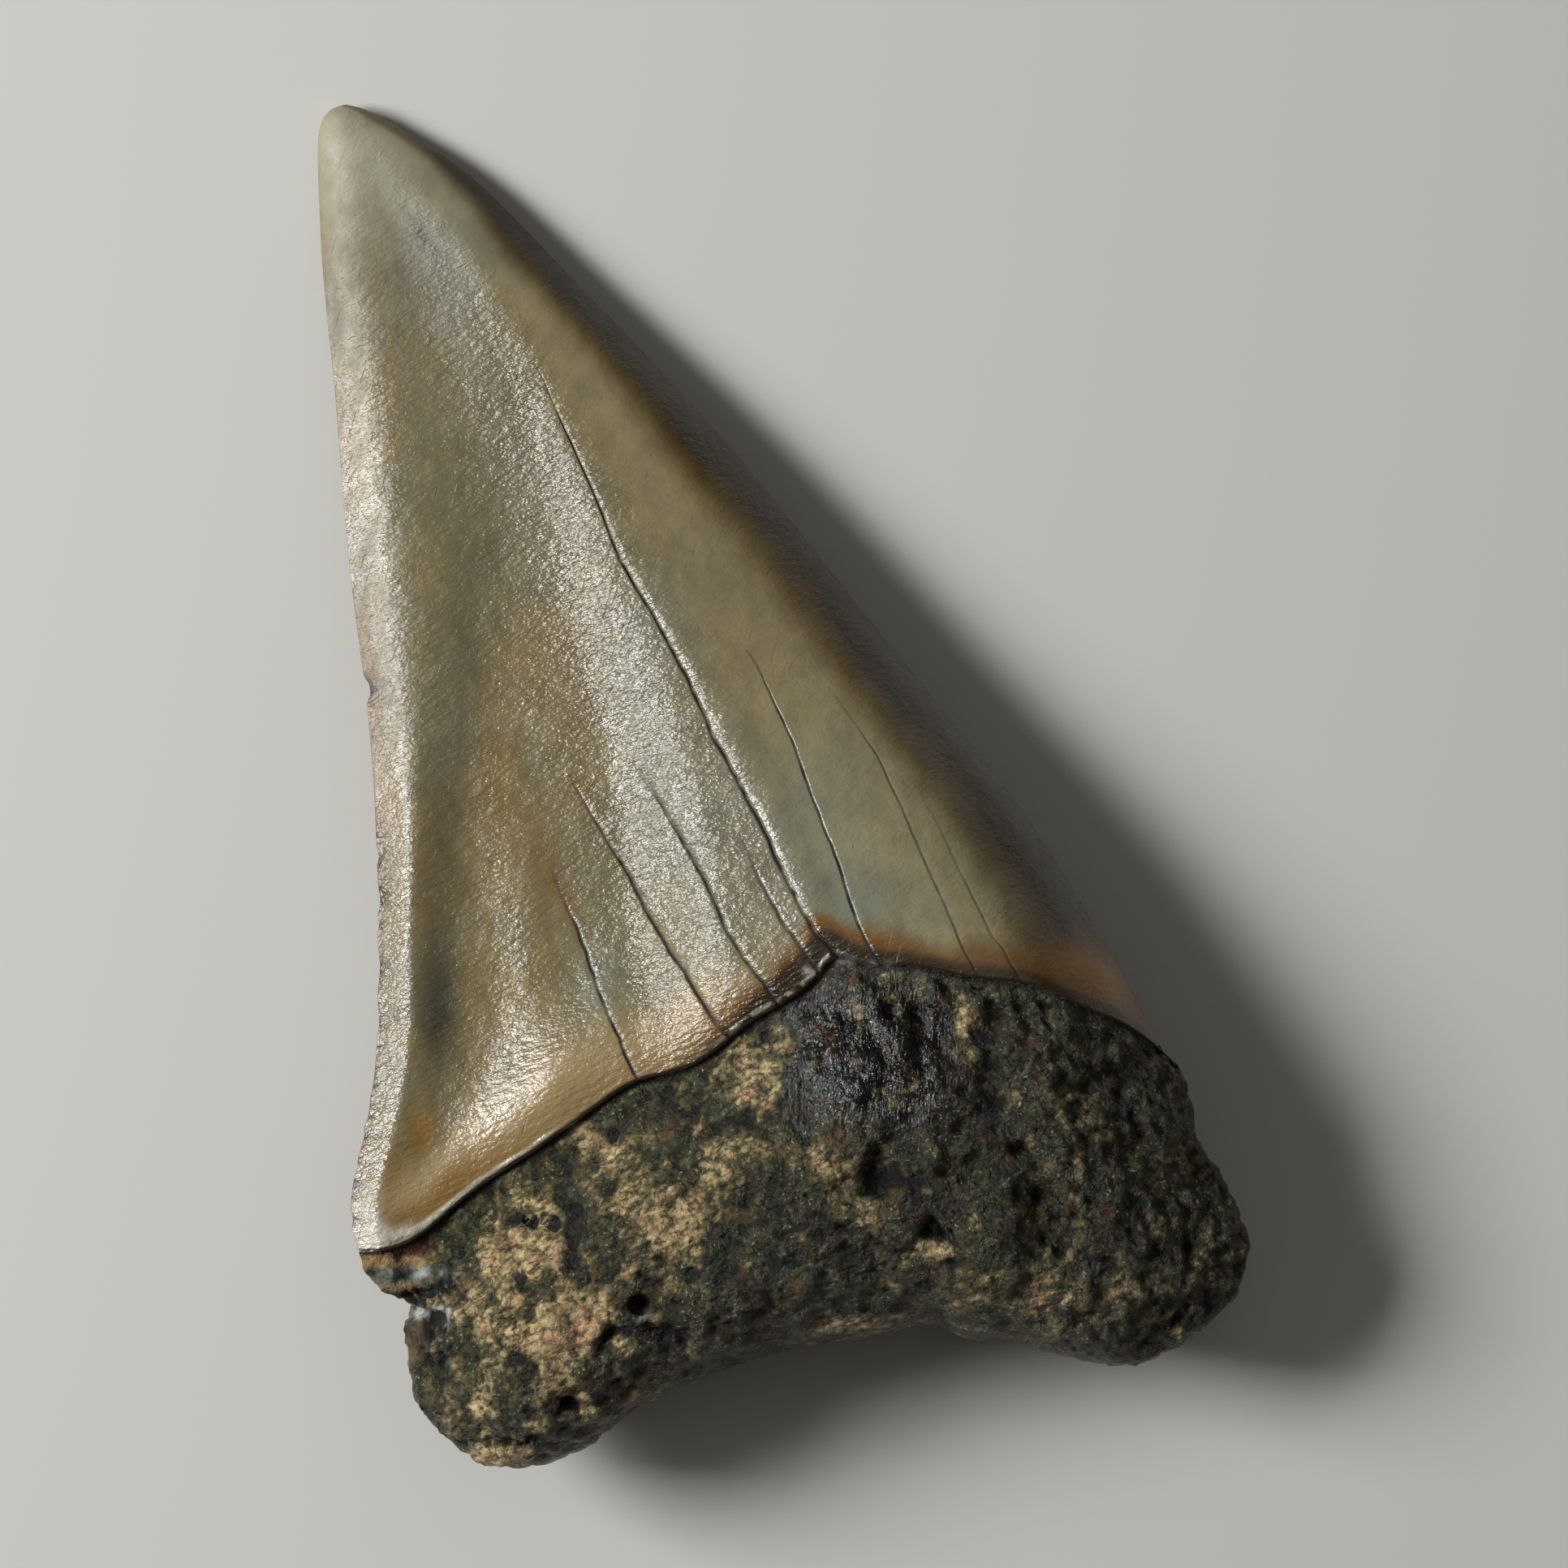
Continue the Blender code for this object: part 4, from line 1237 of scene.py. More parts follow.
    def sunken(self, x: np.ndarray, y: np.ndarray) -> np.ndarray:
        """Depth of the pits and crevices on the outer side of the root.

        Args:
            x: Plan coordinate.
            y: Plan coordinate.

        Returns:
            Depth in millimetres.
        """
        depth = np.zeros_like(x)
        for cx, cy, radius, deep in self.pits:
            reach = ((x - cx) ** 2 + (y - cy) ** 2) / radius ** 2
            depth = np.maximum(depth, deep * np.exp(-reach ** 2))
        for x0, y0, x1, y1, half, deep in self.crevices:
            run = np.array([x1 - x0, y1 - y0])
            share = np.clip(((x - x0) * run[0] + (y - y0) * run[1]) / (run @ run), 0.0, 1.0)
            wander = 0.12 * np.sin(5.0 * (x + y) + 9.0 * share)
            away = (x - x0 - share * run[0] + wander) ** 2 + (y - y0 - share * run[1] + wander) ** 2
            depth = np.maximum(depth, deep * np.exp(-away / half ** 2))
        return depth

    def ochre(self, places: np.ndarray) -> np.ndarray:
        """Where tan sediment clings to the root, from 0 to 1.

        Args:
            places: Points in millimetres.

        Returns:
            Strength at each point.
        """
        patches = blobs(places[:, 0], places[:, 1], self.ochre_patches)
        mottle = fractal(places, (0.75, 1.0, 0.8), 5, 13.0)
        broad = 0.20 * fractal(places, 3.0, 2, 31.0)
        return np.clip(0.04 + 0.85 * (patches + broad) + 0.46 * mottle, 0.0, 1.0)

    def rust(self, places: np.ndarray) -> np.ndarray:
        """Where the bone is stained rust red, from 0 to 1."""
        spots = blobs(places[:, 0], places[:, 1], self.rust_spots)
        return np.clip(spots + smooth_step((fractal(places, 0.9, 3, 21.0) - 0.30) / 0.3), 0.0, 1.0)

    def pores(self, places: np.ndarray) -> np.ndarray:
        """Depth of scattered pores of the bone on all sides of the root.

        Args:
            places: Points of the root in millimetres.

        Returns:
            Depth in millimetres.
        """
        draw = np.random.default_rng(self.pore_seed)
        depth = np.zeros(len(places))
        low, high = places.min(axis=0), places.max(axis=0)
        for _ in range(self.pore_count):
            centre = draw.uniform(low, high)
            radius, deep = draw.uniform(0.13, 0.32), draw.uniform(0.10, 0.30)
            away = (places - centre) ** 2 * (1.0, 1.0, 0.02)
            depth = np.maximum(depth, deep * np.exp(-(away.sum(axis=1) / radius ** 2) ** 1.5))
        return depth

    def nicks(self, places: np.ndarray, values: dict[str, np.ndarray]) -> np.ndarray:
        """Chip the left cutting edge.

        Args:
            places: Points in millimetres.
            values: Values of each vertex.

        Returns:
            Places with the chips pushed in.
        """
        draw = np.random.default_rng(self.nick_seed)
        low, high = self.nick_reach
        nicks = list(self.nick_places)
        y = high
        while y > low:
            nicks.append((y, draw.uniform(0.08, 0.18), draw.uniform(0.03, 0.13)))
            y -= self.nick_gap * draw.uniform(0.6, 1.6)
        near = np.exp(-values["across"] * 45.0) * (values["down"] <= 1.0)
        shift = np.zeros(len(places))
        for middle, half, depth in nicks:
            shift += depth * np.exp(-((places[:, 1] - middle) / half) ** 2)
        values["nick"] = np.clip(shift / 0.1, 0.0, 1.0) * near
        return places + np.outer(shift * near, (1.0, 0.0, 0.0))

    def zones(self, places: np.ndarray, values: dict[str, np.ndarray]) -> None:
        """Write how near each point is to the crown's edges, with its chips, its soft stains, some of which
        are painted shade, and its painted glints and painted glowing edge.

        Args:
            places: Points in millimetres.
            values: Values of each vertex, to which this adds.
        """
        x, y = places[:, 0], places[:, 1]
        outer = values["face"] > 0.0
        self.edges(places, values)
        middle = np.interp(values["down"], *zip(*self.body.crown.flank_place))
        values["flank"] = np.exp(-((values["across"] - middle) / self.flank_reach) ** 2) * outer
        values["scorch"] = np.interp(x, self.scorch_places, self.scorch_strengths)
        values["flake"] = self.flakes(x, y) * outer
        for name, patches in self.stains.items():
            values[name] = np.clip(blobs(x, y, patches), 0.0, 1.0)
        for name in self.outer_stains:
            values[name] = values[name] * outer
        self.chips(places, values)
        along, beside = turn_about(x, y, self.specks_place, self.specks_turn)
        values["specks"] = np.exp(-((along - 1.1) / 1.2) ** 2 - (beside / 0.18) ** 2) * outer

    def edges(self, places: np.ndarray, values: dict[str, np.ndarray]) -> None:
        """Write the worn strip of the left cutting edge and the distance from the right one.

        Args:
            places: Points in millimetres.
            values: Values of each vertex, to which this adds.
        """
        x, y = places[:, 0], places[:, 1]
        plan = self.body.plans[Face.OUTER]
        left = np.interp(-y, -plan.left[:, 1], plan.left[:, 0])
        right = np.interp(-y, -plan.right[:, 1], plan.right[:, 0])
        from_left = np.maximum(x - left, 0.0)
        worn = np.exp(-from_left / self.edge_reach) * ease(y, self.worn_y)
        patchy = 0.6 + 0.9 * fractal(places, (0.8, 0.5, 0.8), 3, 17.0)
        values["edge_worn"] = worn * np.clip(patchy, 0.0, 1.0)
        serrated = ease(y, self.serrated_y) * ease(y, self.serrated_end_y)
        values["serration"] = np.exp(-(from_left / self.edge_reach) ** 2) * serrated
        narrow = np.clip((right - left) / self.full_width, 0.20, 1.0)
        values["from_right"] = (right - x) * 0.78 / narrow
        values["band"] = self.band(x, y, x - left, values)

    def band(
        self, x: np.ndarray, y: np.ndarray, inward: np.ndarray, values: dict[str, np.ndarray]
    ) -> np.ndarray:
        """Where the enamel is pale, partly rubbed and partly a painted highlight: the left bevel and the
        crumbled strip at the margin.

        Args:
            x: Plan coordinate.
            y: Plan coordinate.
            inward: Distance in from the left cutting edge.
            values: Values of each vertex.

        Returns:
            Strength from 0 to 1.
        """
        across, down, above = (values[name] for name in ("across", "down", "above"))
        width = np.interp(y, self.bevel_y, self.bevel_width)
        bevel = smooth_step((width - inward) / 0.6) * ease(down, (0.55, 0.75))
        corner = np.exp(-np.maximum(x + 15.6, 0.0) / 1.3)
        nearness = np.exp(-np.maximum(above, 0.0) / (0.09 + 0.36 * corner)) + np.exp(-inward / 0.55)
        strength = np.interp(across, *zip(*self.body.crown.rim_strength))
        rim = ease(nearness, (0.08, 0.20)) * ease(above, (2.6, 1.4)) * strength
        return np.maximum(bevel, rim) * (values["face"] > 0.0) * (down <= 1.0)

    def chips(self, places: np.ndarray, values: dict[str, np.ndarray]) -> None:
        """Write the glossy chip beside the notch and its painted glints: a painted highlight along the lit
        side of the chip's outline, and small painted bright spots on chipped bone and enamel.

        Args:
            places: Points in millimetres.
            values: Values of each vertex, to which this adds.
        """
        x, y = places[:, 0], places[:, 1]
        outer = values["face"] > 0.0
        turned = turn_about(x, y, self.chip_place, self.chip_turn)
        reach = np.hypot(turned[0] / self.chip_half[0], turned[1] / self.chip_half[1])
        reach = reach + 0.25 * fractal(places, 0.5, 2, 3.0)
        values["chip"] = ease(reach, (1.1, 0.8)) * outer
        lit_side = ease(turned[0] + turned[1], (-0.9, 0.0))
        outlined = np.exp(-((reach - 1.0) / 0.16) ** 2) * lit_side
        patchy_pale_and_highlight = 0.45 + 1.3 * fractal(places, 0.35, 3, 41.0)
        painted_glint = (outlined + blobs(x, y, self.painted_glint_spots)) * patchy_pale_and_highlight
        values["painted_glint"] = np.clip(painted_glint, 0.0, 1.0) * outer


class Finish:
    """A procedural material, built node by node."""

    name = "finish"

    def __init__(self) -> None:
        """Start from an empty Principled material."""
        self.material = bpy.data.materials.new(self.name)
        self.material.use_nodes = True
        self.tree = self.material.node_tree
        self.shader = self.tree.nodes["Principled BSDF"]

    def add(
        self, kind: str, inputs: dict[int | str, Any] | None = None, out: int | str = 0, **settings: Any
    ) -> Any:
        """Add a node with its settings and links.

        Args:
            kind: Node type, such as "ShaderNodeMath".
            inputs: Value or source socket for each input.
            out: Output to return.
            **settings: Properties of the node.

        Returns:
            The node's output socket.
        """
        node = self.tree.nodes.new(kind)
        for key, value in settings.items():
            setattr(node, key, value)
        for key, value in (inputs or {}).items():
            if isinstance(value, bpy.types.NodeSocket):
                self.tree.links.new(value, node.inputs[key])
            else:
                node.inputs[key].default_value = value
        return node.outputs[out]

    def set(self, **inputs: Any) -> None:
        """Set or link the shader's own sockets, with spaces in their names written as underscores.

        Args:
            **inputs: Value or source socket for each of them.
        """
        for key, value in inputs.items():
            socket = self.shader.inputs[key.replace("_", " ")]
            if isinstance(value, bpy.types.NodeSocket):
                self.tree.links.new(value, socket)
            else:
                socket.default_value = value

    def value(self, name: str) -> Any:
        """Read a value that the mesh carries at each point."""
        return self.add("ShaderNodeAttribute", out="Fac", attribute_name=name)

    def ramp(self, source: Any, low: float, high: float, start: float = 0.0, end: float = 1.0) -> Any:
        """Ease a value between two limits.

        Args:
            source: Value to ease.
            low: Limit where the result is start.
            high: Limit where the result is end.
            start: Result at the low limit.
            end: Result at the high limit.

        Returns:
            The result's socket.
        """
        return self.add(
            "ShaderNodeMapRange", {0: source, 1: low, 2: high, 3: start, 4: end},
            interpolation_type="SMOOTHSTEP",
        )

    def blend(self, share: Any, below: Any, above: Any, mode: str = "MIX") -> Any:
        """Lay one colour over another by a share.

        Args:
            share: How much of the upper colour shows, 0 to 1.
            below: Lower colour.
            above: Upper colour.
            mode: How the two are mixed.

        Returns:
            The mixed colour's socket.
        """
        return self.add(
            "ShaderNodeMix", {0: share, 6: below, 7: above}, out=2, data_type="RGBA", blend_type=mode,
        )

    def calc(self, first: Any, second: Any, operation: str = "ADD") -> Any:
        """Work out a value from two others."""
        return self.add("ShaderNodeMath", {0: first, 1: second}, operation=operation)

    def grain(self, place: Any, size_mm: Sequence[float], detail: float, roughness: float = 0.5) -> Any:
        """Noise whose bumps have a real size along each axis, in millimetres.

        Args:
            place: Coordinates to read it at.
            size_mm: Size of a bump along each axis.
            detail: Levels of finer noise.
            roughness: Strength of the finer levels.

        Returns:
            The noise's socket, about 0 to 1.
        """
        scale = tuple(1.0 / (size * MM) for size in size_mm)
        stretched = self.add("ShaderNodeMapping", {0: place, 3: scale})
        return self.add(
            "ShaderNodeTexNoise",
            {"Vector": stretched, "Scale": 1.0, "Detail": detail, "Roughness": roughness},
        )


class FossilEnameloid(Finish):
    """Mineralised shark enameloid, polished by sand: glossy, with rough sparkle in the highlights.

    Sizes that end in mm are those of a pattern along the three axes. Real wear pits are about a
    tenth of a millimetre, and are drawn a little coarser so that they show.
    """

    name = "fossil_enameloid"
    ior = 1.63
    cloud_mm = (3.2, 6.0, 5.0)
    mottle_mm = (0.8, 1.3, 1.0)
    flaking_mm = (0.45, 0.45, 0.45)
    spot_mm = (0.20, 0.24, 0.20)
    grit_mm = (0.10, 0.10, 0.10)
    serration_mm = (3.0, 0.24, 3.0)
    worn_mm = (0.5, 0.9, 0.7)
    pit_mm = (0.46, 0.17, 0.30)
    pit_lean = -0.4
    fine_pit_mm = (0.12, 0.09, 0.10)
    scratch_mm = (0.06, 1.8, 0.6)
    scratch_lean = 0.3
    taupe = "#73643f"
    grey = "#6b6346"
    ridge_grey = "#706d5a"
    blue_grey = "#6e7465"
    olive = "#837757"
    pale_tip = "#928d75"
    straw = "#98906e"
    painted_glow_amber = "#8f600a"
    dark_smudge_and_shade = "#322e1b"
    burnt = "#6b4815"
    char_and_shade = "#2c2008"
    margin_tan = "#a48c62"
    brown_and_shaded_side = "#2a1f04"
    edge_amber = "#5e4210"
    amber = "#715014"
    crack_line = "#070604"
    speck = "#38332c"
    worn_edge = "#6b4013"
    nick_brown_and_shade = "#241507"
    painted_glint_grey = "#a3a096"
    pale_rim_and_highlight = "#c6c1b1"

    def __init__(self) -> None:
        """Build the colours, the gloss and the fine relief."""
        super().__init__()
        place = self.add("ShaderNodeTexCoord", out="Object")
        colour, gloss = self.colour(place), self.gloss(place)
        self.set(Base_Color=colour, Roughness=gloss, Normal=self.relief(place), IOR=self.ior)

    def colour(self, place: Any) -> Any:
        """Colour of the enameloid, from its warm body to the burnt band at its margin.

        Args:
            place: The tooth's own coordinates.

        Returns:
            The base colour.
        """
        cloud = self.grain(place, self.cloud_mm, 4.0, 0.55)
        colour = self.body(place, cloud)
        colour = self.sides(colour, cloud)
        marked = self.margin(colour, cloud)
        # Pale grey on the left bevel and the margin strip: rubbed enamel, and a painted highlight where the
        # bevel and the lip bead face the light.
        greyed = self.ramp(self.value("above"), 2.4, 0.6, 0.15, 0.70)
        rim = self.blend(greyed, colour, linear(self.pale_rim_and_highlight))
        patches = self.ramp(self.grain(place, self.flaking_mm, 3.0), 0.40, 0.56)
        whole = self.ramp(self.value("across"), 0.30, 0.18)
        patchy_pale_and_highlight = self.calc(self.value("band"), self.calc(patches, whole, "MAXIMUM"), "MULTIPLY")
        colour = self.blend(patchy_pale_and_highlight, marked, rim)
        # Painted shade: the last tenth of a millimetre above the margin is darkened along the crevice under
        # the lip.
        lowest = self.ramp(self.value("above"), 0.09, 0.03, 0.0, 0.9)
        colour = self.blend(lowest, colour, linear(self.char_and_shade))
        # Painted glints: pale grey spots at the lip where the photo shows specular glints.
        colour = self.blend(self.value("painted_glint"), colour, linear(self.painted_glint_grey))
        grime = self.calc(self.value("grime"), 0.25, "MULTIPLY")
        colour = self.blend(grime, colour, linear(self.worn_edge))
        stain = self.calc(self.value("stain"), 0.7, "MULTIPLY")
        colour = self.blend(stain, colour, linear(self.burnt))
        spots = self.ramp(self.grain(place, self.spot_mm, 3.0, 0.6), 0.44, 0.58, 0.15, 1.0)
        rubbed = self.calc(self.value("edge_worn"), spots, "MULTIPLY")
        colour = self.blend(rubbed, colour, linear(self.worn_edge))
        # Dark brown in the nicks and serrations: partly grime, partly painted shade where they turn from
        # the light.
        dirt_and_shade = self.calc(self.value("nick"), self.dashes(place), "MAXIMUM")
        colour = self.blend(dirt_and_shade, colour, linear(self.nick_brown_and_shade))
        grit = self.ramp(self.grain(place, self.grit_mm, 2.0), 0.50, 0.58)
        colour = self.blend(self.calc(self.value("specks"), grit, "MULTIPLY"), colour, linear(self.speck))
        return self.blend(self.value("crack"), colour, linear(self.crack_line))

    def dashes(self, place: Any) -> Any:
        """Dark brown in the worn serrations of the left cutting edge, every half millimetre or so, partly
        grime and partly painted shade of the nicks.
        """
        gaps = self.ramp(self.grain(place, self.serration_mm, 1.0), 0.53, 0.58)
        return self.calc(self.value("serration"), gaps, "MULTIPLY")

    def body(self, place: Any, cloud: Any) -> Any:
        """Colour of the middle of the crown: taupe, grey on the ridge, dark in the flute, there partly
        smudges and partly painted shade.

        Args:
            place: The tooth's own coordinates.
            cloud: Slow noise that makes borders wander.

        Returns:
            The colour.
        """
        across, down = self.value("across"), self.value("down")
        mottle = self.grain(place, self.mottle_mm, 5.0, 0.6)
        colour = self.blend(self.ramp(cloud, 0.38, 0.62), linear(self.taupe), linear(self.grey))
        ridge = self.calc(self.ramp(across, 0.34, 0.50), self.ramp(across, 0.72, 0.56), "MULTIPLY")
        colour = self.blend(self.calc(ridge, 0.6, "MULTIPLY"), colour, linear(self.ridge_grey))
        colour = self.blend(self.ramp(across, 0.58, 0.80, 0.0, 0.85), colour, linear(self.olive))
        lower = self.ramp(down, 0.55, 0.90, 0.0, 0.55)
        lower_right = self.calc(self.ramp(across, 0.55, 0.70), lower, "MULTIPLY")
        colour = self.blend(lower_right, colour, linear(self.straw))
        colour = self.blend(self.value("blue"), colour, linear(self.blue_grey))
        # Dark smudges, and painted shade in the flute.
        colour = self.blend(self.value("smudge_and_shade"), colour, linear(self.dark_smudge_and_shade))
        colour = self.blend(self.ramp(down, 0.20, 0.02, 0.0, 0.85), colour, linear(self.pale_tip))
        colour = self.blend(self.value("amber"), colour, linear(self.amber))
        speckle = self.ramp(mottle, 0.30, 0.70, 0.86, 1.12)
        return self.add("ShaderNodeVectorMath", {0: colour, 3: speckle}, operation="SCALE")

    def sides(self, colour: Any, cloud: Any) -> Any:
        """Darken the crown towards its right cutting edge, through an amber rim: partly the edge's own
        brown, partly painted shade where the crown turns from the light.

        Args:
            colour: Colour that this is laid over.
            cloud: Slow noise that makes borders wander.

        Returns:
            The darkened colour.
        """
        from_right = self.calc(self.value("from_right"), self.ramp(cloud, 0.3, 0.7, -0.3, 0.3))
        colour = self.blend(self.ramp(from_right, 2.7, 1.5, 0.0, 0.6), colour, linear(self.edge_amber))
        below_tip = self.ramp(self.value("down"), 0.02, 0.10)
        dark = self.calc(self.ramp(from_right, 2.0, 0.7, 0.0, 0.95), below_tip, "MULTIPLY")
        # Dark brown towards the right edge: own colour and painted shade.
        colour = self.blend(dark, colour, linear(self.brown_and_shaded_side))
        # Painted glow of light through the translucent enamel corner.
        return self.blend(self.value("painted_glow"), colour, linear(self.painted_glow_amber))

    def margin(self, colour: Any, cloud: Any) -> Any:
        """Lay the tan and burnt bands along the enamel margin, and the dark band at it, which is partly
        dark stain and partly painted shade, strongest by the apex.

        Args:
            colour: Colour that this is laid over.
            cloud: Slow noise that makes borders wander.

        Returns:
            The colour with its bands.
        """
        above = self.calc(self.value("above"), self.ramp(cloud, 0.3, 0.7, -0.35, 0.35))
        left_half = self.ramp(self.value("across"), 0.62, 0.40)
        tan = self.calc(self.ramp(above, 3.4, 1.3, 0.0, 0.7), left_half, "MULTIPLY")
        colour = self.blend(tan, colour, linear(self.margin_tan))
        near_corner = self.ramp(self.value("across"), 0.26, 0.12, 0.12, 1.0)
        amber = self.calc(self.ramp(above, 1.9, 0.7, 0.0, 0.75), near_corner, "MULTIPLY")
        amber = self.calc(amber, left_half, "MULTIPLY")
        colour = self.blend(amber, colour, linear(self.amber))
        burnt = self.calc(self.ramp(above, 1.7, 0.5, 0.0, 0.9), self.value("scorch"), "MULTIPLY")
        colour = self.blend(burnt, colour, linear(self.burnt))
        # Dark band at the margin: partly stain, partly painted shade by the apex.
        scorched = self.calc(self.value("above"), self.value("scorch"), "DIVIDE")
        char_and_shade = self.calc(self.ramp(scorched, 0.72, 0.24, 0.0, 0.9), self.value("scorch"), "MULTIPLY")
        return self.blend(char_and_shade, colour, linear(self.char_and_shade))

    def gloss(self, place: Any) -> Any:
        """Roughness of sand-polished enameloid, higher near the tip, in worn patches, in grime and in the
        dirty nicks and worn strip of the left edge.

        Args:
            place: The tooth's own coordinates.

        Returns:
            The roughness.
        """
        worn = self.ramp(self.grain(place, self.worn_mm, 3.0), 0.3, 0.7, 0.22, 0.34)
        dulled = self.calc(worn, self.ramp(self.value("down"), 0.36, 0.08, 0.0, 0.24))
        upper = self.ramp(self.value("down"), 0.72, 0.56)
        rubbed = self.calc(self.ramp(self.value("across"), 0.26, 0.10, 0.0, 0.07), upper, "MULTIPLY")
        grimy = self.calc(self.value("grime"), 0.12, "MULTIPLY")
        dulled = self.calc(self.calc(dulled, rubbed), grimy)
        dirty = self.calc(self.dashes(place), self.value("edge_worn"), "MAXIMUM")
        dirty = self.calc(dirty, 0.45, "MULTIPLY")
        return self.calc(self.calc(dulled, self.value("crack"), "MAXIMUM"), dirty, "MAXIMUM")

    def relief(self, place: Any) -> Any:
        """Fine wear pits and scratches of the enameloid, the pits stretched across the crown.

        Args:
            place: The tooth's own coordinates.

        Returns:
            The bumped normal.
        """
        leaning = self.add("ShaderNodeMapping", {0: place, 2: (0.0, 0.0, self.pit_lean)})
        pits = self.grain(leaning, self.pit_mm, 2.0, 0.5)
        fine = self.grain(place, self.fine_pit_mm, 2.0, 0.5)
        height = self.calc(pits, self.calc(fine, 0.35, "MULTIPLY"))
        slanted = self.add("ShaderNodeMapping", {0: place, 2: (0.0, 0.0, self.scratch_lean)})
        scratches = self.ramp(self.grain(slanted, self.scratch_mm, 1.0), 0.70, 0.77, 0.0, -0.35)
        height = self.calc(height, scratches)
        on_flank = self.ramp(self.value("flank"), 0.1, 1.0, 0.052, 0.095)
        depth = self.calc(on_flank, self.ramp(self.value("band"), 0.0, 1.0, 0.0, 0.035))
        smoother_right = self.ramp(self.value("across"), 0.62, 0.80, MM, 0.5 * MM)
        smoother_tip = self.ramp(self.value("down"), 0.08, 0.30, 0.45, 1.0)
        depth = self.calc(self.calc(depth, smoother_right, "MULTIPLY"), smoother_tip, "MULTIPLY")
        return self.add("ShaderNodeBump", {"Strength": 1.0, "Distance": depth, "Height": height})


class FossilBone(Finish):
    """Mineralised root bone: green-black, porous, semi-gloss, with ochre sediment in it.

    Sizes that end in mm are those of a pattern along the three axes, or all round. Real bone
    grains are a tenth of a millimetre or less, and are drawn coarser so that they show.
    """

    name = "fossil_root_bone"
    ior = 1.47
    cloud_mm = (1.4, 1.7, 1.4)
    grain_mm = (0.52, 0.28, 0.40)
    grain_lean = -0.5
    tint_mm = (0.9, 0.9, 0.9)
    pebble_mm = 0.26
    border_mm = (0.36, 0.36, 0.36)
    border_shift_mm = 0.55
    crystal_glint_mm = (0.12, 0.14, 0.13)
    stria_glint_mm = (0.09, 0.40, 0.2)
    gloss_mm = (0.25, 0.25, 0.25)
    coarse_mm = (0.48, 0.40, 0.44)
    streak_mm = (0.16, 0.48, 0.30)
    bump_mm = 0.30
    black = "#0b0c07"
    green = "#282d18"
    brown = "#4b4229"
    mineral_glint = "#b4b7aa"
    grey_green = "#53563b"
    blue_black = "#07090b"
    khaki = "#5b5432"
    ochre_dark = "#86744a"
    ochre_light = "#d6be8c"
    ochre_pink = "#cfa27a"
    rust = "#522c13"
    hollow = "#050503"
    stria_glint = "#99a0a6"
    painted_glint_pale = "#b4b8b4"
    tongue = (
        (0.0, "#5a2a14"), (0.10, "#9c7c50"), (0.34, "#8f7549"), (0.44, "#3a4032"), (0.68, "#666c5e"),
        (0.80, "#8f7a50"), (1.0, "#3a2d1c"),
    )
    tongue_top = -17.30
    tongue_depth = 1.60

    def __init__(self) -> None:
        """Build the colours, the gloss and the fine relief."""
        super().__init__()
        place = self.add("ShaderNodeTexCoord", out="Object")
        colour, gloss = self.colour(place), self.gloss(place)
        self.set(Base_Color=colour, Roughness=gloss, Normal=self.relief(place), IOR=self.ior)

    def colour(self, place: Any) -> Any:
        """Colour of the bone, with painted shade in its pores, hollows and under the enamel lip, and tan
        where sediment clings.

        Args:
            place: The tooth's own coordinates.

        Returns:
            The base colour.
        """
        cloud = self.grain(place, self.cloud_mm, 5.0, 0.6)
        leaning = self.add("ShaderNodeMapping", {0: place, 2: (0.0, 0.0, self.grain_lean)})
        grains = self.grain(leaning, self.grain_mm, 5.0, 0.7)
        tint = self.grain(place, self.tint_mm, 3.0, 0.6)
        pebble = self.pebbles(place, "Color")
        tone = self.add("ShaderNodeSeparateColor", {0: pebble}, out="Red")
        gap = self.pebbles(place, "Distance")
        lit = self.ramp(cloud, 0.40, 0.56, 0.15, 1.0)
        colour = self.blend(lit, linear(self.black), linear(self.green))
        grey = self.calc(self.ramp(grains, 0.46, 0.62, 0.0, 0.9), lit, "MULTIPLY")
        colour = self.blend(grey, colour, linear(self.grey_green))
        colour = self.blend(self.ramp(tone, 0.80, 1.0, 0.0, 0.7), colour, linear(self.grey_green))
        colour = self.blend(self.ramp(tint, 0.50, 0.64, 0.0, 0.6), colour, linear(self.brown))
        boss = self.calc(self.value("shine"), 0.9, "MULTIPLY")
        colour = self.blend(boss, colour, linear(self.blue_black))
        ochre = self.blend(self.ramp(grains, 0.36, 0.64), linear(self.ochre_dark), linear(self.ochre_light))
        ochre = self.blend(self.ramp(tint, 0.52, 0.66, 0.0, 0.8), ochre, linear(self.ochre_pink))
        caught = self.ramp(grains, 0.34, 0.60, 0.25, 0.85)
        picked = self.calc(caught, self.ramp(tone, 0.0, 1.0, -0.10, 0.40))
        share = self.calc(self.value("ochre"), picked, "MULTIPLY")
        colour = self.blend(self.ramp(share, 0.04, 0.30, 0.0, 0.9), colour, linear(self.khaki))
        colour = self.blend(self.ramp(share, 0.18, 0.68), colour, ochre)
        flake = self.calc(self.value("flake"), self.ramp(grains, 0.34, 0.50, 0.3, 1.0), "MULTIPLY")
        colour = self.blend(flake, colour, ochre)
        # Pale grains drawn as painted glints, standing in for tiny specular specks of the bone.
        crystal_glints = self.ramp(self.grain(place, self.crystal_glint_mm, 2.0, 0.6), 0.62, 0.70, 0.0, 0.8)
        colour = self.blend(self.calc(crystal_glints, lit, "MULTIPLY"), colour, linear(self.mineral_glint))
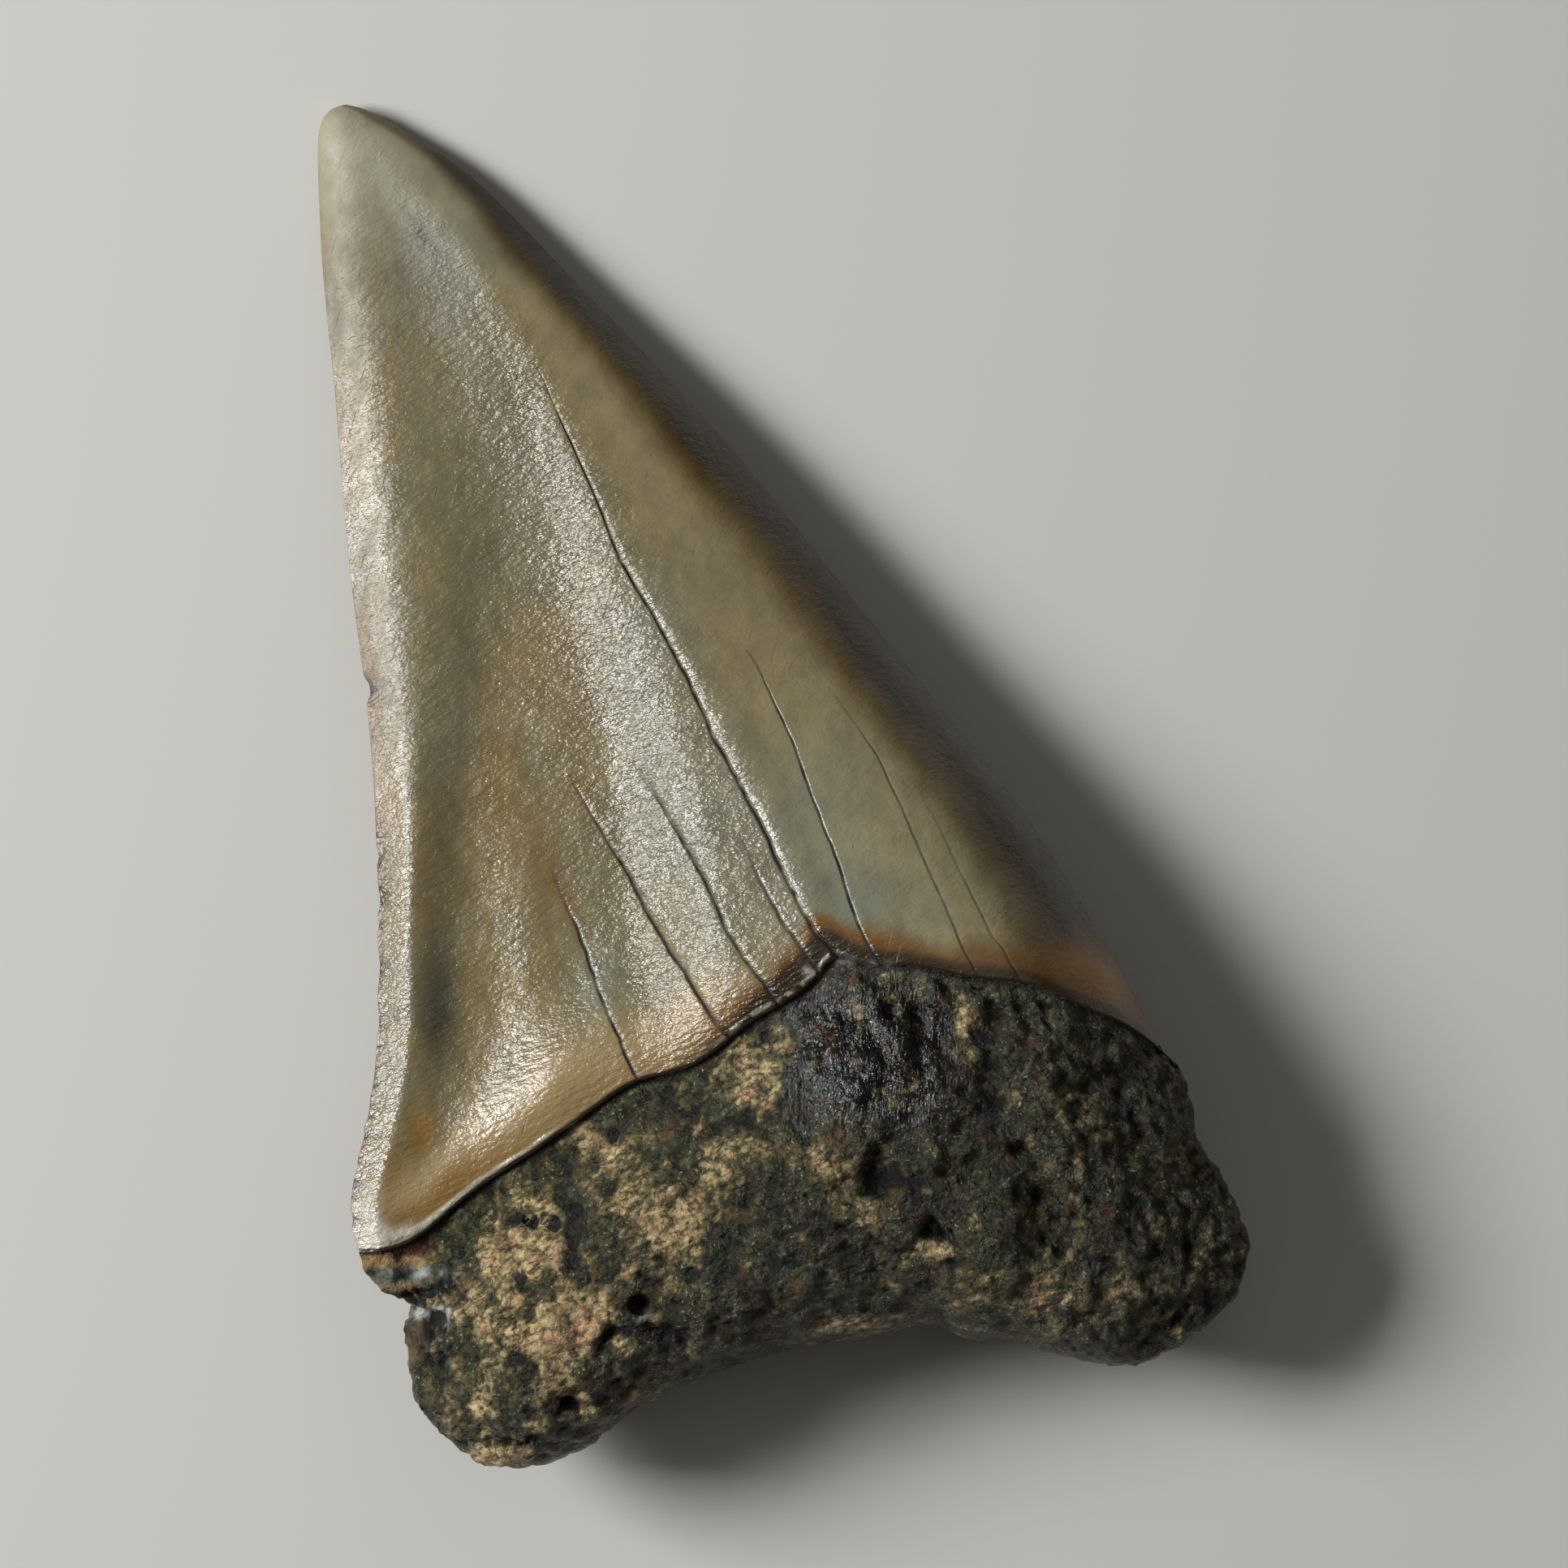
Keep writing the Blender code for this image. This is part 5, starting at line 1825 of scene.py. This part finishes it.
        # Painted glints: pale streaks on the boss standing in for its glossy striae catching the light.
        stria_glints = self.ramp(self.grain(place, self.stria_glint_mm, 2.0, 0.6), 0.60, 0.70, 0.0, 0.7)
        colour = self.blend(self.calc(stria_glints, self.value("shine"), "MULTIPLY"), colour, linear(self.stria_glint))
        colour = self.blend(self.ramp(gap, 0.46, 0.86, 0.0, 0.75), colour, linear(self.black))
        rust = self.calc(self.value("rust"), self.ramp(grains, 0.42, 0.6, 0.0, 0.7), "MULTIPLY")
        colour = self.blend(rust, colour, linear(self.rust))
        colour = self.layers(place, cloud, colour)
        # Painted shade: black in the sunken relief and in a line just under the enamel lip.
        shade_under_lip = self.ramp(self.value("above"), -0.42, -0.08)
        painted_shade = self.calc(self.ramp(self.value("relief"), 0.0, -0.22, 0.0, 0.95), shade_under_lip, "MAXIMUM")
        colour = self.blend(painted_shade, colour, linear(self.hollow))
        colour = self.blend(self.calc(self.value("chip"), 0.6, "MULTIPLY"), colour, linear(self.blue_black))
        # Painted glints: pale spots and the lit side of the chip's outline, drawn as colour.
        return self.blend(self.value("painted_glint"), colour, linear(self.painted_glint_pale))

    def layers(self, place: Any, cloud: Any, colour: Any) -> Any:
        """Colour the left corner in the layers where dentine and bone lie open under the enamel.

        Args:
            place: The tooth's own coordinates.
            cloud: Slow noise that makes borders wander.
            colour: Colour that this is laid over.

        Returns:
            The colour with the layers at the corner.
        """
        height = self.add("ShaderNodeSeparateXYZ", {0: place}, out="Y")
        lowered = self.add(
            "ShaderNodeMapRange",
            {0: height, 1: self.tongue_top * MM, 2: (self.tongue_top - self.tongue_depth) * MM},
        )
        wavy = self.calc(lowered, self.ramp(cloud, 0.3, 0.7, -0.12, 0.12))
        ramp = self.tree.nodes.new("ShaderNodeValToRGB")
        stops = ramp.color_ramp.elements
        while len(stops) < len(self.tongue):
            stops.new(0.5)
        for stop, (share, hex_colour) in zip(stops, self.tongue):
            stop.position = share
            stop.color = linear(hex_colour)
        self.tree.links.new(wavy, ramp.inputs[0])
        side = self.add("ShaderNodeSeparateXYZ", {0: place}, out="X")
        here = self.calc(self.ramp(side, -12.7 * MM, -13.7 * MM), self.ramp(wavy, 1.05, 0.9), "MULTIPLY")
        patchy = self.calc(here, self.ramp(cloud, 0.35, 0.60, 0.6, 1.0), "MULTIPLY")
        return self.blend(patchy, colour, ramp.outputs[0])

    def pebbles(self, place: Any, out: str) -> Any:
        """Random grains of the bone, with wavy borders.

        Args:
            place: Coordinates to read them at.
            out: "Distance" from the grain's middle, or its random "Color".

        Returns:
            The pattern's output.
        """
        wave = self.grain(place, self.border_mm, 3.0, 0.6)
        reach = {0: wave, 3: self.border_shift_mm * MM}
        shift = self.add("ShaderNodeVectorMath", reach, operation="SCALE")
        moved = self.add("ShaderNodeVectorMath", {0: place, 1: shift}, operation="ADD")
        scaled = self.add("ShaderNodeMapping", {0: moved, 3: (1.0 / (self.pebble_mm * MM),) * 3})
        return self.add("ShaderNodeTexVoronoi", {"Vector": scaled, "Scale": 1.0}, out=out)

    def gloss(self, place: Any) -> Any:
        """Roughness, with glossy grains among dull ones and a worn shine on the boss.

        Args:
            place: The tooth's own coordinates.

        Returns:
            The roughness.
        """
        dull = self.ramp(self.grain(place, self.gloss_mm, 3.0), 0.38, 0.60, 0.12, 0.33)
        caked = self.calc(dull, self.calc(self.value("ochre"), 0.25, "MULTIPLY"))
        polished = self.calc(self.value("shine"), self.value("chip"), "MAXIMUM")
        polished = self.calc(self.value("painted_glint"), polished, "MAXIMUM")
        rough = self.calc(caked, self.calc(polished, 0.2, "MULTIPLY"), "SUBTRACT")
        return self.calc(rough, 0.08, "MAXIMUM")

    def relief(self, place: Any) -> Any:
        """Grain of the bone, finer than the mesh can hold, drawn out along the root on the boss.

        Args:
            place: The tooth's own coordinates.

        Returns:
            The bumped normal.
        """
        coarse = self.grain(place, self.coarse_mm, 6.0, 0.7)
        mounds = self.calc(self.pebbles(place, "Distance"), -0.25, "MULTIPLY")
        streaks = self.calc(self.grain(place, self.streak_mm, 3.0, 0.6), 0.65, "MULTIPLY")
        grainy = self.calc(coarse, mounds)
        height = self.add("ShaderNodeMix", {0: self.value("shine"), 2: grainy, 3: streaks})
        return self.add(
            "ShaderNodeBump", {"Strength": 1.0, "Distance": self.bump_mm * MM, "Height": height},
        )


class PaleBoard(Finish):
    """Matte painted board under the tooth, pale and plain."""

    name = "pale_board"
    paint = "#c8c7c2"
    roughness = 0.85

    def __init__(self) -> None:
        """Set a plain pale finish."""
        super().__init__()
        self.set(Base_Color=linear(self.paint), Roughness=self.roughness)


@dataclass
class Studio:
    """Board, soft lights and the camera straight above the tooth."""

    frame_width: float = 57.96 * MM
    focus_height: float = 5.0 * MM
    distance: float = 0.6
    sensor: float = 36.0
    aim_x: float = 0.06 * MM
    board_size: float = 3.0
    room_light: str = "#f4efe6"
    room_strength: float = 0.09
    lamps: Sequence[tuple[str, tuple[float, float, float], float, float]] = (
        ("key_light", (-0.31, 0.06, 0.24), 0.15, 2.0),
        ("top_light", (0.10, 0.16, 0.45), 0.40, 0.15),
    )

    def build(self) -> None:
        """Place the board, the lights, the world and the camera."""
        self.board()
        for lamp in self.lamps:
            self.light(*lamp)
        self.world()
        self.camera()
        log.info("studio: board, %d lamps and camera", len(self.lamps))

    def board(self) -> None:
        """Lay the pale board at the height that the tooth rests on."""
        half = self.board_size / 2
        mesh = bpy.data.meshes.new("board")
        corners = [(-half, -half, 0), (half, -half, 0), (half, half, 0), (-half, half, 0)]
        mesh.from_pydata(corners, [], [(0, 1, 2, 3)])
        mesh.materials.append(PaleBoard().material)
        board = bpy.data.objects.new("board", mesh)
        bpy.context.scene.collection.objects.link(board)

    def light(self, name: str, place: tuple[float, float, float], size: float, watts: float) -> None:
        """Hang a square soft light that faces the tooth.

        Args:
            name: Name of the light.
            place: Position in metres.
            size: Side of the square in metres.
            watts: Power.
        """
        lamp = bpy.data.lights.new(name, "AREA")
        lamp.size = size
        lamp.energy = watts
        thing = bpy.data.objects.new(name, lamp)
        thing.location = place
        thing.rotation_euler = (-Vector(place)).to_track_quat("-Z", "Y").to_euler()
        bpy.context.scene.collection.objects.link(thing)

    def world(self) -> None:
        """Fill the room with even pale light."""
        world = bpy.data.worlds.new("room")
        world.use_nodes = True
        background = world.node_tree.nodes["Background"]
        background.inputs["Color"].default_value = linear(self.room_light)
        background.inputs["Strength"].default_value = self.room_strength
        bpy.context.scene.world = world
        bpy.context.scene.view_settings.view_transform = "Standard"

    def camera(self) -> None:
        """Set the camera straight above, framed as the photograph is."""
        data = bpy.data.cameras.new("camera")
        data.sensor_width = self.sensor
        data.lens = self.sensor * self.distance / self.frame_width
        camera = bpy.data.objects.new("camera", data)
        camera.location = (self.aim_x, 0.0, self.focus_height + self.distance)
        bpy.context.scene.collection.objects.link(camera)
        bpy.context.scene.camera = camera


def main() -> None:
    """Build the tooth and the studio."""
    logging.basicConfig(level=logging.INFO, format="%(name)s: %(message)s")
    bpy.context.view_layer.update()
    tooth = ToothBody().build()
    for finish in (FossilEnameloid(), FossilBone()):
        tooth.data.materials.append(finish.material)
        log.info("finish: %s", finish.name)
    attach(tooth, "root")
    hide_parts(NODE)
    Studio().build()


if __name__ == "__main__":
    main()
